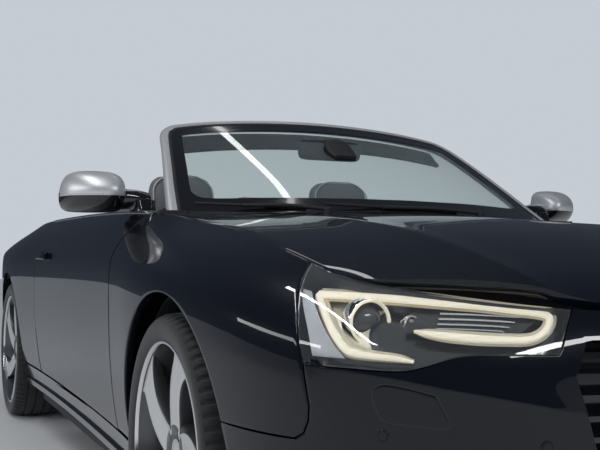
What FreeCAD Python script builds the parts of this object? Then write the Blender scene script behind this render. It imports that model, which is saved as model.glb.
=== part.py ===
import FreeCAD, Part
import math
import os

# Open two-door car with the soft top stowed. Millimetres, +X forward, +Y to the car's left, +Z up.
# The origin is the middle of the outline on the ground.

V = FreeCAD.Vector

# Wheels and tyres
wheelbase = 2751.0
front_axle_x = 1440.0
rear_axle_x = front_axle_x - wheelbase
tail_x = rear_axle_x - 1013.0
behind_tail = tail_x - 276.0
wheel_radius = 333.5
tyre_width = 250.0
rim_radius = 271.0
rim_wall = 9.0
wheel_y = 787.0
spindle_radius = 30.0
hub_bore = 30.3
lug_circle = 56.0
lug_hole_radius = 13.0
lug_count = 5
spoke_count = 5
disc_radius = 185.0
disc_thickness = 30.0
knuckle_radius = 95.0
arch_radius = 380.0
liner_wall = 4.0
arch_rise = 4.0

# Body shell
skin = 30.0
door_depth = 62.0
lamp_depth = 48.0
lamp_back_depth = 24.0
lens_thickness = 6.0
panel_gap = 5.5
seam_gap = 3.0
door_front_x = 868.0
door_rear_x = rear_axle_x + 771.0
door_bottom_z = 296.0
sill_depth = 90.0
blade_reach = 9.0
seam_z = 465.0
arch_front_x = 1805.0
bonnet_rear_x = 1040.0
bonnet_side_x = 945.0
nose_gap = 6.0
under_lid_z = 600.0
deck_front_x = rear_axle_x + 136.0
boot_front_x = rear_axle_x - 219.0
rear_seam_z = 560.0
boot_sill_z = 640.0
boot_half_width = 520.0
grille_top = 655.0
grille_bottom = 270.0
grille_half_top = 400.0
grille_half_bottom = 300.0

# Door handles
handle_front_x = door_rear_x + 290.0
handle_length = 170.0
handle_low_z = 790.0
handle_height = 26.0
handle_reach = 24.0
handle_thickness = 10.0

# Cabin
floor_z = 185.0
floor_thickness = 25.0
heel_x = rear_axle_x + 611.0
rear_wall_x = heel_x - 450.0
bulkhead_x = 900.0
tunnel_half = 100.0
tunnel_height = 190.0
rail_inner = 440.0
rail_outer = 478.0
rail_z = 500.0
seat_y = 370.0
seat_half = 250.0
steering_x = 455.0
steering_z = 830.0
steering_radius = 182.0
steering_tilt = 24.0

# Hinges: a pin on each door and lid turns in an eye on the body, and the bonnet's eyes turn on body pins
pin_play = 0.3
hinge_space = 4.0
outer_skin = 8.0
door_hinge_x = 826.0
door_hinge_y = 876.0
door_hinge_heights = ((440.0, 500.0), (650.0, 710.0))
door_pin_radius = 6.0
door_eye_radius = 11.0
wing_lip = 5.0
lid_pin_radius = 4.0
lid_eye_radius = 8.0
lid_hinge_half = 7.0
lid_hinge_y = 300.0
lid_hinge_drop = 16.0
lid_top_skin = 6.0
lid_gap = 8.0
boot_hinge_x = boot_front_x - 100.0
soft_hinge_x = boot_front_x + 90.0
shelf_z = 800.0
bonnet_hinge_x = 935.0
bonnet_hinge_y = 690.0
bonnet_lug_half = 4.0
slot_side = 1.5

# Jacking pads under the sills
jack_x = (620.0, heel_x + 60.0)
jack_y = 780.0
jack_z = 148.0
jack_half_length = 45.0
jack_half_width = 18.0

# Stations of the body side, from the nose round the left to the tail:
# name, x, half width, z of the hem, of the side line and of the belt, inset of the hem and of the belt
ring_stations = (
    ("nose", 2334.0, 0.0, 205.0, 600.0, 700.0, 60.0, 36.0),
    ("nose side", 2326.0, 230.0, 203.0, 600.0, 702.0, 55.0, 36.0),
    ("grille side", 2288.0, 440.0, 198.0, 603.0, 712.0, 50.0, 40.0),
    ("lamp inner", 2222.0, 625.0, 192.0, 608.0, 735.0, 45.0, 118.0),
    ("corner", 2110.0, 775.0, 188.0, 618.0, 754.0, 45.0, 104.0),
    ("lamp outer", 1965.0, 858.0, 188.0, 645.0, 786.0, 45.0, 128.0),
    ("arch front", 1790.0, 903.0, 192.0, 690.0, 826.0, 45.0, 170.0),
    ("front axle", front_axle_x, 930.0, 200.0, 735.0, 878.0, 50.0, 205.0),
    ("arch rear", 1085.0, 924.0, 203.0, 765.0, 912.0, 55.0, 195.0),
    ("door front", door_front_x, 905.0, 200.0, 783.0, 943.0, 55.0, 112.0),
    ("door middle", 200.0, 897.0, 205.0, 790.0, 956.0, 60.0, 82.0),
    ("door rear", door_rear_x, 905.0, 210.0, 795.0, 958.0, 60.0, 82.0),
    ("arch front of rear wheel", rear_axle_x + 381.0, 922.0, 215.0, 800.0, 952.0, 55.0, 105.0),
    ("rear axle", rear_axle_x, 933.0, 220.0, 805.0, 930.0, 50.0, 150.0),
    ("arch rear of rear wheel", rear_axle_x - 379.0, 913.0, 225.0, 800.0, 905.0, 45.0, 180.0),
    ("tail corner", rear_axle_x - 674.0, 848.0, 230.0, 785.0, 888.0, 45.0, 165.0),
    ("tail corner inner", rear_axle_x - 854.0, 722.0, 235.0, 775.0, 880.0, 50.0, 130.0),
    ("tail lamp inner", rear_axle_x - 954.0, 500.0, 235.0, 775.0, 880.0, 60.0, 80.0),
    ("tail side", tail_x + 12.0, 240.0, 235.0, 775.0, 884.0, 60.0, 60.0),
    ("tail", tail_x, 0.0, 235.0, 775.0, 886.0, 60.0, 55.0),
)

# Rows of the body side, from the hem up to the belt:
# name, rise from hem to line, rise from line to belt, share of the hem's inset, share of the belt's inset
ring_rows = (
    ("hem", 0.0, 0.0, 1.0, 0.0),
    ("skirt", 0.22, 0.0, 0.45, 0.0),
    ("low flank", 0.48, 0.0, 0.12, 0.0),
    ("flank", 0.78, 0.0, 0.0, 0.0),
    ("line", 1.0, 0.0, 0.0, 0.0),
    ("over line", 1.0, 0.24, 0.0, 0.1),
    ("shoulder", 1.0, 0.66, 0.0, 0.42),
    ("belt", 1.0, 1.0, 0.0, 1.0),
)

# Sections of the bonnet and scuttle surface, from the nose back: x, z at the middle, crease and edge
bonnet_sections = (
    (2410.0, 540.0, 540.0, 500.0),
    (2330.0, 640.0, 640.0, 600.0),
    (2270.0, 722.0, 720.0, 660.0),
    (2180.0, 778.0, 772.0, 705.0),
    (2040.0, 826.0, 812.0, 742.0),
    (1880.0, 865.0, 850.0, 796.0),
    (1680.0, 897.0, 880.0, 840.0),
    (1440.0, 921.0, 905.0, 876.0),
    (1200.0, 938.0, 922.0, 900.0),
    (1000.0, 952.0, 936.0, 920.0),
    (850.0, 964.0, 950.0, 944.0),
    (700.0, 980.0, 966.0, 962.0),
    (560.0, 996.0, 982.0, 980.0),
)
# Columns across the bonnet: y, share of the way from middle to crease, from crease to edge
bonnet_columns = (
    (0.0, 0.0, 0.0),
    (210.0, 0.3, 0.0),
    (390.0, 0.85, 0.0),
    (440.0, 1.0, 0.0),
    (490.0, 1.0, 0.14),
    (610.0, 1.0, 0.54),
    (720.0, 1.0, 1.0),
    (830.0, 1.0, 1.6),
)

# Sections of the rear deck, from the cabin back: x from the rear axle, z at the middle and at the edge
deck_table = (
    (451.0, 985.0, 962.0),
    (291.0, 982.0, 955.0),
    (111.0, 976.0, 940.0),
    (-139.0, 962.0, 918.0),
    (-389.0, 944.0, 902.0),
    (-639.0, 924.0, 886.0),
    (-809.0, 912.0, 876.0),
    (-919.0, 904.0, 870.0),
    (-1019.0, 893.0, 862.0),
    (-1109.0, 880.0, 852.0),
)
deck_sections = tuple((rear_axle_x + lead, middle, edge) for lead, middle, edge in deck_table)
deck_columns = ((0.0, 0.0), (260.0, 0.12), (480.0, 0.4), (640.0, 0.75), (760.0, 1.1), (880.0, 1.5))


def mirrored(shape):
    return shape.mirror(V(0, 0, 0), V(0, 1, 0))


def box(x1, x2, y1, y2, z1, z2):
    return Part.makeBox(x2 - x1, y2 - y1, z2 - z1, V(x1, y1, z1))


def rod(start, end, radius):
    """Straight round bar between two points."""
    way = end.sub(start)
    return Part.makeCylinder(radius, way.Length, start, way)


def prism(points, way):
    """Polygon extruded along a vector."""
    return Part.Face(Part.makePolygon(points + [points[0]])).extrude(way)


def side_sheet(outline, y1, y2):
    """Outline of (x, z) points extruded across the car."""
    return prism([V(x, y1, z) for x, z in outline], V(0, y2 - y1, 0))


def cross_sheet(half_outline, x1, x2):
    """Left half of a (y, z) outline and its mirror, extruded along the car."""
    left = [V(x1, y, z) for y, z in half_outline]
    right = [V(x1, -y, z) for y, z in reversed(half_outline) if y > 0]
    return prism(left + right, V(x2 - x1, 0, 0))


def strap(points, half, low, high):
    """Flat bar along a line of plan points, round at its bends and ends."""
    pieces = []
    for start, end in zip(points[:-1], points[1:]):
        a = V(start[0], start[1], low)
        b = V(end[0], end[1], low)
        way = b.sub(a)
        side = V(-way.y, way.x, 0)
        side.normalize()
        side = side * half
        pieces.append(prism([a - side, b - side, b + side, a + side], V(0, 0, high - low)))
    for x, y in points:
        pieces.append(Part.makeCylinder(half, high - low, V(x, y, low)))
    return joined(pieces)


def spun(profile, x, y, z):
    """Profile of (radius, offset) points turned about a wheel's axle."""
    points = [V(x, y + offset, z + radius) for radius, offset in profile]
    face = Part.Face(Part.makePolygon(points + [points[0]]))
    return face.revolve(V(x, y, z), V(0, 1, 0), 360)


def joined(shapes):
    whole = shapes[0]
    if len(shapes) > 1:
        whole = shapes[0].multiFuse(shapes[1:])
    return whole.removeSplitter()


def closed_solid(faces):
    shell = Part.makeShell(faces)
    shell.sewShape()
    solid = Part.makeSolid(shell)
    if solid.Volume < 0:
        solid.reverse()
    return solid


def spline_face(poles, first_u, first_v, u_range, v_range):
    """Uniform cubic spline face over a net of poles; a pole's label is its own parameter."""
    u_knots = [float(k) for k in range(first_u - 2, first_u + len(poles) + 2)]
    v_knots = [float(k) for k in range(first_v - 2, first_v + len(poles[0]) + 2)]
    surface = Part.BSplineSurface()
    surface.buildFromPolesMultsKnots(
        poles, [1] * len(u_knots), [1] * len(v_knots), u_knots, v_knots, False, False, 3, 3)
    surface.segment(u_range[0], u_range[1], v_range[0], v_range[1])
    return surface


def net_solid(outer, inner, first_u, first_v, u_range, v_range):
    """Panel between two nets of poles, cut to a range of both parameters."""
    top = spline_face(outer, first_u, first_v, u_range, v_range)
    bottom = spline_face(inner, first_u, first_v, u_range, v_range)
    faces = [top.toShape(), bottom.toShape()]
    for u in u_range:
        faces.append(Part.makeRuledSurface(top.uIso(u).toShape(), bottom.uIso(u).toShape()))
    for v in v_range:
        faces.append(Part.makeRuledSurface(top.vIso(v).toShape(), bottom.vIso(v).toShape()))
    return closed_solid(faces)


def tube(rings):
    """Smooth closed body through planar rings of poles, flat at both ends."""
    count = len(rings)
    inside = count - 3
    u_knots = [float(k) for k in range(inside + 1)]
    v_knots = [float(k) for k in range(len(rings[0]) + 1)]
    surface = Part.BSplineSurface()
    surface.buildFromPolesMultsKnots(
        rings, [4] + [1] * (inside - 1) + [4], [1] * len(v_knots), u_knots, v_knots, False, True, 3, 3)
    ends = [Part.Face(Part.Wire([surface.uIso(u).toShape()])) for u in (u_knots[0], u_knots[-1])]
    return closed_solid([surface.toShape()] + ends)


def with_phantom_rows(column):
    """A column of poles with one more at each end, so that the surface ends on the first and last."""
    return [column[0] * 2 - column[1]] + column + [column[-1] * 2 - column[-2]]


# Body side: a ring of stations round the car, left side on positive labels
last_station = len(ring_stations) - 1


def plan_point(label):
    turn = label % (2 * last_station)
    side = 1.0
    if turn > last_station:
        turn = 2 * last_station - turn
        side = -1.0
    station = ring_stations[turn]
    return V(station[1], side * station[2], 0), station, side


def ring_column(label):
    """Outer poles of one station, hem to belt, with the phantom rows."""
    point, station, side = plan_point(label)
    before = plan_point(label - 1)[0]
    after = plan_point(label + 1)[0]
    along = after.sub(before)
    outward = V(along.y * -1.0, along.x, 0)
    outward.normalize()
    if outward.dot(point) < 0:
        outward = outward * -1.0
    hem_z, line_z, belt_z, hem_inset, belt_inset = station[3:]
    column = []
    for name, low_rise, high_rise, low_share, high_share in ring_rows:
        inset = low_share * hem_inset + high_share * belt_inset
        z = hem_z + low_rise * (line_z - hem_z) + high_rise * (belt_z - line_z)
        pole = point.sub(outward * inset)
        column.append(V(pole.x, pole.y, z))
    return column


def inner_column(label, depth):
    """Poles of one station moved in by the panel's depth."""
    here = ring_column(label)
    before = ring_column(label - 1)
    after = ring_column(label + 1)
    column = []
    for row, pole in enumerate(here):
        below = here[max(row - 1, 0)]
        above = here[min(row + 1, len(here) - 1)]
        normal = after[row].sub(before[row]).cross(above.sub(below))
        normal.normalize()
        column.append(pole.sub(normal * depth))
    return column


def ring_panel(u_range, v_range, depth, start=0.0):
    """Piece of the body side between two stations and two rows, as thick as depth."""
    first = math.floor(u_range[0]) - 1
    last = math.ceil(u_range[1]) + 1
    outer = []
    inner = []
    for label in range(first, last + 1):
        outside = ring_column(label) if start == 0.0 else inner_column(label, start)
        outer.append(with_phantom_rows(outside))
        inner.append(with_phantom_rows(inner_column(label, start + depth)))
    return net_solid(outer, inner, first, -1, u_range, v_range)


def spline_weights(t):
    return (
        (1 - t) ** 3 / 6.0,
        (3 * t ** 3 - 6 * t ** 2 + 4) / 6.0,
        (-3 * t ** 3 + 3 * t ** 2 + 3 * t + 1) / 6.0,
        t ** 3 / 6.0,
    )


def ring_point(u, v):
    """Point of the outer surface at station u and row v."""
    u_base = min(math.floor(u), 2 * last_station)
    v_base = min(math.floor(v), len(ring_rows) - 2)
    total = V(0, 0, 0)
    for i, u_weight in enumerate(spline_weights(u - u_base)):
        column = with_phantom_rows(ring_column(u_base - 1 + i))
        for j, v_weight in enumerate(spline_weights(v - v_base)):
            total = total + column[v_base + j] * (u_weight * v_weight)
    return total


def station_at(x, row=3.0):
    """Label of the left side's surface at a given x."""
    low = 0.0
    high = float(last_station)
    for _ in range(30):
        middle = (low + high) / 2
        if ring_point(middle, row).x > x:
            low = middle
        else:
            high = middle
    return (low + high) / 2


def row_at(z, station):
    """Row of the surface at a given z on one station."""
    low = 0.0
    high = float(len(ring_rows) - 1)
    for _ in range(30):
        middle = (low + high) / 2
        if ring_point(station, middle).z < z:
            low = middle
        else:
            high = middle
    return (low + high) / 2


belt_row = float(len(ring_rows) - 1)
parts = {}

# Cutters shared by several panels
axle_z = wheel_radius


def arch_cutter(x, radius, y1, y2):
    cylinder = Part.makeCylinder(radius, y2 - y1, V(x, y1, axle_z + arch_rise), V(0, 1, 0))
    below = box(x - radius, x + radius, y1, y2, -50, axle_z + arch_rise)
    return joined([cylinder, below])


front_arch = arch_cutter(front_axle_x, arch_radius, 400, 1100)
rear_arch = arch_cutter(rear_axle_x, arch_radius, 400, 1100)

# Lamp outline on the left corner, seen along the corner's diagonal
lamp_outline = (
    (2262, 395, 780),
    (2268, 396, 700),
    (2272, 420, 632),
    (2236, 600, 634),
    (2207, 640, 611),
    (2170, 695, 603),
    (2024, 806, 606),
    (1980, 812, 745),
    (1995, 800, 762),
    (2010, 700, 800),
)
diagonal = V(1, 1, 0)
diagonal.normalize()


def corner_prism(outline, growth=0.0):
    """Outline swept along the corner's diagonal, grown by a margin."""
    flat = [V(p) - diagonal * V(p).dot(diagonal) for p in outline]
    middle = V(0, 0, 0)
    for point in flat:
        middle = middle + point * (1.0 / len(flat))
    grown = []
    for point in flat:
        way = point - middle
        grown.append(point + way * (growth / way.Length) + diagonal * 1500)
    return prism(grown, diagonal * 1400)


lamp_cutter = corner_prism(lamp_outline)
lamp_hole_cutter = corner_prism(lamp_outline, seam_gap)


def belt_outline(stations, inset):
    """Points of the left belt line moved towards the middle."""
    points = []
    for u in stations:
        here = ring_point(u, belt_row)
        ahead = ring_point(u + 0.05, belt_row)
        way = ahead.sub(here)
        inward = V(-way.y, way.x, 0)
        inward.normalize()
        gap = inset + nose_gap * max(0.0, -inward.x)
        points.append(V(here.x + inward.x * gap, here.y + inward.y * gap, 0))
    return points


def outline_prism(points, low, high):
    """Left points and their mirror as one outline, extruded upward."""
    left = [V(p.x, p.y, low) for p in points]
    right = [V(p.x, -p.y, low) for p in reversed(points)]
    return prism(left + right, V(0, 0, high - low))


# Openings in the body's top, along the belt line
nose_station = 0.0001
tail_station = last_station - nose_station
bonnet_side = station_at(bonnet_side_x, belt_row)
bonnet_labels = [nose_station] + [0.5 * k for k in range(1, 40) if 0.5 * k < bonnet_side] + [bonnet_side]
bonnet_mouth_points = belt_outline(bonnet_labels, 0.0)
bonnet_mouth_points[0] = V(bonnet_mouth_points[0].x, 1.0, 0)
bonnet_mouth = outline_prism(bonnet_mouth_points, under_lid_z, 1200)
deck_side = station_at(deck_front_x, belt_row)
deck_labels = [deck_side + (tail_station - deck_side) * k / 16.0 for k in range(17)]
deck_mouth_points = belt_outline(deck_labels, 0.0)
deck_mouth_points[-1] = V(deck_mouth_points[-1].x, 1.0, 0)
deck_mouth = outline_prism(deck_mouth_points, under_lid_z, 1200)

# Front bumper, wings and lamps
bumper_end = station_at(arch_front_x)
nose_skin = ring_panel((-bumper_end, bumper_end), (0.0, belt_row), skin)
seam_front_x = lamp_outline[6][0] + 23
wing_zone = prism([
    V(1300, 300, seam_z), V(seam_front_x - 30, 300, seam_z), V(seam_front_x, 300, seam_z + 35),
    V(seam_front_x + 3, 300, 530), V(2034, 300, 612), V(2034, 300, 1000), V(1300, 300, 1000),
], V(0, 800, 0))
grille_zone = prism([
    V(1900, -grille_half_bottom, grille_bottom), V(1900, grille_half_bottom, grille_bottom),
    V(1900, grille_half_top, grille_top - 60), V(1900, grille_half_top - 30, grille_top),
    V(1900, 30 - grille_half_top, grille_top), V(1900, -grille_half_top, grille_top - 60),
], V(600, 0, 0))
bumper_cutters = [wing_zone, mirrored(wing_zone), lamp_hole_cutter, mirrored(lamp_hole_cutter), grille_zone]
bumper_cutters.extend([bonnet_mouth, front_arch, mirrored(front_arch)])
parts["front_bumper"] = nose_skin.cut(bumper_cutters)

wing_seam_cutter = box(1300, 2400, 300, 1100, 0, seam_z + seam_gap)
wing_front_cutter = prism([
    V(seam_front_x - 33, 300, seam_z), V(seam_front_x - 3, 300, seam_z + 35), V(seam_front_x, 300, 530),
    V(2031, 300, 612), V(2031, 300, 1000), V(2500, 300, 1000), V(2500, 300, seam_z),
], V(0, 800, 0))
wing_front = ring_panel((3.4, bumper_end), (1.5, belt_row), skin)
wing_front = wing_front.cut([wing_seam_cutter, wing_front_cutter, lamp_hole_cutter, front_arch])
wing_rows = (row_at(door_bottom_z, station_at(door_front_x)), belt_row)
wing_back = ring_panel((bumper_end, station_at(door_front_x + panel_gap)), wing_rows, skin)
wing_back = wing_back.cut(front_arch)
wing = joined([wing_front, wing_back]).cut(bonnet_mouth)

# The wing's rear edge is thin where the door's front edge turns in behind it
door_front_u = station_at(door_front_x)
door_edge_y = ring_point(door_front_u, 4.0).y
door_swing = math.hypot(door_front_x - door_hinge_x, door_edge_y - door_hinge_y) + hinge_space
swing_space = Part.makeCylinder(door_swing, 900, V(door_hinge_x, door_hinge_y, 150))
behind_lip = ring_panel((door_front_u - 0.35, door_front_u + 0.05), wing_rows, skin + 6, wing_lip)
wing = wing.cut(behind_lip.common(swing_space))
parts["front_wing_left"] = wing
parts["front_wing_right"] = mirrored(wing)

# Headlamps: a clear lens, and a housing with a back, side walls, a flange behind the panels and two projectors
lamp_u = (1.6, 6.2)
lamp_v = (3.0, belt_row)
lamp_wall = 4.0
lens = ring_panel(lamp_u, lamp_v, lens_thickness).common(lamp_cutter).cut(bonnet_mouth)
lamp_back = ring_panel(lamp_u, lamp_v, lamp_back_depth, lamp_depth).common(lamp_cutter)
lamp_inside = corner_prism(lamp_outline, -lamp_wall)
lamp_side = ring_panel(lamp_u, lamp_v, lamp_depth - lens_thickness + 2, lens_thickness).common(lamp_cutter)
lamp_side = lamp_side.cut(lamp_inside)
lamp_flange = ring_panel(lamp_u, lamp_v, 6.0, skin).common(corner_prism(lamp_outline, 14.0)).cut(lamp_inside)
under_lens = ring_panel(lamp_u, lamp_v, lamp_depth, lens_thickness + 6)
projectors = []
for place, radius in (((2100, 738, 688), 36), ((2120, 655, 672), 17)):
    barrel = rod(V(place) - V(60, 0, 0), V(place) + V(120, 0, 0), radius)
    projectors.append(barrel.common(under_lens).common(lamp_inside))
housing = joined([lamp_back, lamp_side, lamp_flange] + projectors).cut(bonnet_mouth)
housing = max(housing.Solids, key=lambda solid: solid.Volume)
parts["headlamp_lenses"] = Part.makeCompound([lens, mirrored(lens)])
parts["headlamp_housings"] = Part.makeCompound([housing, mirrored(housing)])

# Grille
grille_bars = []
bar_pitch = 38.0
bar_count = int((grille_top - grille_bottom) / bar_pitch)
grille_back = ring_panel((-2.4, 2.4), (0.6, 5.6), 12.0, 75.0).common(grille_zone)
for index in range(bar_count):
    bar_z = grille_bottom + 12 + index * bar_pitch
    slat = ring_panel((-2.4, 2.4), (0.4, 6.4), 66.0, 10.0)
    slat = slat.common(box(1900, 2500, -600, 600, bar_z, bar_z + 10)).common(grille_zone)
    grille_bars.append(slat)
parts["grille"] = joined([grille_back] + grille_bars).cut(parts["headlamp_housings"])

# Doors, with a pocket behind the skin for each hinge eye, a pin across it and a pull handle
door_u = (door_front_u, station_at(door_rear_x))
door_rows = (row_at(door_bottom_z, sum(door_u) / 2), belt_row)
door = ring_panel(door_u, door_rows, door_depth)
under_skin = ring_panel((door_front_u - 0.1, door_front_u + 0.3), door_rows, door_depth + 20, outer_skin)
door_pins = []
for low, high in door_hinge_heights:
    zone = box(door_hinge_x - 22, door_front_x + 20, door_hinge_y - 80, door_hinge_y + 60,
               low - hinge_space, high + hinge_space)
    door = door.cut(under_skin.common(zone))
    pin_foot = V(door_hinge_x, door_hinge_y, low - 14)
    door_pins.append(Part.makeCylinder(door_pin_radius, high - low + 28, pin_foot))
handle_rows = (row_at(handle_low_z, door_u[1]), row_at(handle_low_z + handle_height, door_u[1]))
handle_u = (station_at(handle_front_x), station_at(handle_front_x - handle_length))
handle = [ring_panel(handle_u, handle_rows, handle_thickness, -handle_reach)]
foot_width = 0.1 * (handle_u[1] - handle_u[0])
for start in (handle_u[0], handle_u[1] - foot_width):
    handle.append(ring_panel((start, start + foot_width), handle_rows, handle_reach, 2.0 - handle_reach))
door = joined([door] + door_pins + handle)
parts["door_left"] = door
parts["door_right"] = mirrored(door)

# Rear quarters and rear bumper
quarter_start = station_at(door_rear_x - panel_gap)
rear_end = station_at(rear_axle_x - arch_radius + 1)
quarter = ring_panel((quarter_start, last_station - 2.2), wing_rows, skin)
rear_seam = box(behind_tail, rear_axle_x, 100, 1200, 0, rear_seam_z)
boot_mouth_half = boot_half_width + panel_gap
boot_mouth = box(behind_tail, tail_x + 324, -boot_mouth_half, boot_mouth_half, boot_sill_z - panel_gap, 1200)
lamp_zone = box(behind_tail, tail_x + 284, boot_mouth_half, 900, 735, 815)
lamp_body = box(behind_tail, tail_x + 281, boot_mouth_half + 2, 900, 738, 812)
quarter = quarter.cut([rear_arch, rear_seam, boot_mouth, lamp_zone, deck_mouth])
parts["rear_quarter_left"] = quarter
parts["rear_quarter_right"] = mirrored(quarter)
tail_span = 2 * last_station - rear_end
rear_skin = ring_panel((rear_end, tail_span), (0.0, belt_row), skin)
over_bumper = box(behind_tail, rear_axle_x - 189, boot_mouth_half, 1200, rear_seam_z - seam_gap, 1200)
tip_y = 560.0
tip_z = 290.0
tip_radius = 50.0
tip_body = Part.makeCylinder(tip_radius, 120, V(tail_x + 54, tip_y, tip_z), V(1, 0, 0))
bumper_trim = [over_bumper, mirrored(over_bumper), boot_mouth, rear_arch, mirrored(rear_arch)]
parts["rear_bumper"] = rear_skin.cut(bumper_trim + [tip_body, mirrored(tip_body)])
lamp_skin = ring_panel((last_station - 5.0, last_station - 1.6), (3.0, belt_row), 60.0)
lamp_seat = ring_panel((last_station - 5.0, last_station - 1.6), (3.0, belt_row), 10.0, skin)
lamp_seat = lamp_seat.common(box(behind_tail, tail_x + 294, boot_mouth_half + 2, 900, 722, 828)).cut(deck_mouth)
tail_lamp = joined([lamp_skin.common(lamp_body), lamp_seat])
parts["tail_lamps"] = Part.makeCompound([tail_lamp, mirrored(tail_lamp)])

# Side sills, each with a blade that stands out along its lower edge
sill_u = (station_at(front_axle_x - arch_radius + 20), station_at(rear_axle_x + arch_radius - 20))
sill_rows = (0.0, row_at(door_bottom_z - panel_gap, sum(door_u) / 2))
blade_rows = (0.0, 0.3 * sill_rows[1])
blade = ring_panel(sill_u, blade_rows, blade_reach + sill_depth / 2, -blade_reach)
under_door = box(door_rear_x - 40, door_front_x + 20, 700, 862, door_bottom_z - 10, 400)
sill = ring_panel(sill_u, sill_rows, sill_depth).fuse(blade).cut([front_arch, rear_arch, under_door])
parts["side_sills"] = Part.makeCompound([sill, mirrored(sill)])


# Bonnet, scuttle and rear deck
def top_panel(sections, columns, heights, depth):
    """Panel over a net of x sections and y columns, upper face on the net."""
    outer = []
    inner = []
    for section in sections:
        row = []
        for column in columns:
            row.append(V(section[0], column[0], heights(section, column)))
        full = [V(p) for p in reversed(row)] + [V(p.x, -p.y, p.z) for p in row[1:]]
        outer.append(full)
        inner.append([V(p.x, p.y, p.z - depth) for p in full])
    u_range = (1.0, len(sections) - 2.0)
    v_range = (1.0, len(outer[0]) - 2.0)
    return net_solid(outer, inner, 0, 0, u_range, v_range)


def bonnet_height(section, column):
    x, middle, crease, edge = section
    return middle + column[1] * (crease - middle) + column[2] * (edge - crease)


def deck_height(section, column):
    x, middle, edge = section
    return middle + column[1] * (edge - middle)


bonnet_edge = belt_outline(bonnet_labels, panel_gap)
bonnet_edge[0] = V(bonnet_edge[0].x, 1.0, 0)
rear_edge = []
for share in (0.85, 0.6, 0.3, 0.05):
    rear_edge.append(V(bonnet_rear_x - (bonnet_rear_x - bonnet_side_x) * share ** 2, 735.0 * share, 0))


def pole_share(values, target):
    """Parameter at which a uniform cubic line with these poles reaches a value."""
    rising = values[-1] > values[0]
    low = 1.0
    high = len(values) - 2.0
    for _ in range(30):
        middle = (low + high) / 2
        base = min(math.floor(middle), len(values) - 3)
        here = sum(values[base - 1 + i] * weight for i, weight in enumerate(spline_weights(middle - base)))
        if (here < target) == rising:
            low = middle
        else:
            high = middle
    return (low + high) / 2


def top_z(sections, columns, heights, x, y):
    """Height of a top panel's upper face at a place in plan."""
    sides = [(-column[0],) + column[1:] for column in reversed(columns)] + list(columns[1:])
    u = pole_share([section[0] for section in sections], x)
    v = pole_share([column[0] for column in sides], y)
    u_base = min(math.floor(u), len(sections) - 3)
    v_base = min(math.floor(v), len(sides) - 3)
    total = 0.0
    for i, u_weight in enumerate(spline_weights(u - u_base)):
        for j, v_weight in enumerate(spline_weights(v - v_base)):
            total += heights(sections[u_base - 1 + i], sides[v_base - 1 + j]) * u_weight * v_weight
    return total


def cross_pin(x, y, z, radius, half):
    """Round pin or hole across the car."""
    return Part.makeCylinder(radius, 2 * half, V(x, y - half, z), V(0, 1, 0))


bonnet_zone = outline_prism(bonnet_edge + rear_edge, 300, 1200)
top_skin = top_panel(bonnet_sections, bonnet_columns, bonnet_height, skin)
scuttle_front = [V(p.x - panel_gap, p.y, 0) for p in reversed(rear_edge)]
scuttle_front.append(V(bonnet_side_x - panel_gap, 742.0, 0))
scuttle_zone = outline_prism(
    scuttle_front + [V(875, 775, 0), V(760, 775, 0), V(800, 600, 0), V(880, 300, 0), V(900, 1, 0)], 300, 1200)

# The bonnet's two lugs turn on pins across slots in the scuttle
bonnet_hinge_z = top_z(bonnet_sections, bonnet_columns, bonnet_height, bonnet_hinge_x, bonnet_hinge_y) - 12
bonnet_pieces = [top_skin.common(bonnet_zone)]
scuttle = top_skin.common(scuttle_zone)
scuttle_pins = []
lug_slots = []
slot_half = bonnet_lug_half + slot_side
for y in (-bonnet_hinge_y, bonnet_hinge_y):
    eye = cross_pin(bonnet_hinge_x, y, bonnet_hinge_z, lid_eye_radius, bonnet_lug_half)
    rise = ((0, 8), (40, 2), (85, -12), (85, -30), (30, -15), (0, -8))
    lug = side_sheet([(bonnet_hinge_x + x, bonnet_hinge_z + z) for x, z in rise],
                     y - bonnet_lug_half, y + bonnet_lug_half)
    hole = cross_pin(bonnet_hinge_x, y, bonnet_hinge_z, lid_pin_radius + pin_play, bonnet_lug_half + 1)
    bonnet_pieces.append(joined([eye, lug]).cut(hole))
    lug_slots.append(box(bonnet_hinge_x - lid_eye_radius - 3, bonnet_rear_x, y - slot_half, y + slot_half,
                         under_lid_z, 1200))
    scuttle_pins.append(cross_pin(bonnet_hinge_x, y, bonnet_hinge_z, lid_pin_radius, slot_half + 6))
parts["bonnet"] = joined(bonnet_pieces)
scuttle = joined([scuttle.cut(lug_slots)] + scuttle_pins)

# The two rear lids turn on pins across pockets under their skins, in eyes on posts
deck_skin = top_panel(deck_sections, deck_columns, deck_height, skin)
under_deck = deck_skin.translated(V(0, 0, -lid_top_skin))


def hinged_lid(lid, hinge_x, edge_x, hinge_z):
    """Lid with a pocket for each hinge post, open at the hinged edge, and a pin across it."""
    pins = []
    for y in (-lid_hinge_y, lid_hinge_y):
        space = lid_hinge_half + 3
        away = math.copysign(12.0, hinge_x - edge_x)
        x1, x2 = sorted((hinge_x + away, edge_x))
        lid = lid.cut(under_deck.common(box(x1, x2, y - space, y + space, 600, 1200)))
        pins.append(cross_pin(hinge_x, y, hinge_z, lid_pin_radius, space + 4))
    return joined([lid] + pins)


def hinge_post(x, y, z):
    """Post from the shelf up to an eye round a lid's pin."""
    post = box(x - lid_eye_radius, x + lid_eye_radius, y - lid_hinge_half, y + lid_hinge_half, shelf_z, z)
    eye = cross_pin(x, y, z, lid_eye_radius, lid_hinge_half)
    return joined([post, eye]).cut(cross_pin(x, y, z, lid_pin_radius + pin_play, lid_hinge_half + 1))


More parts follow.
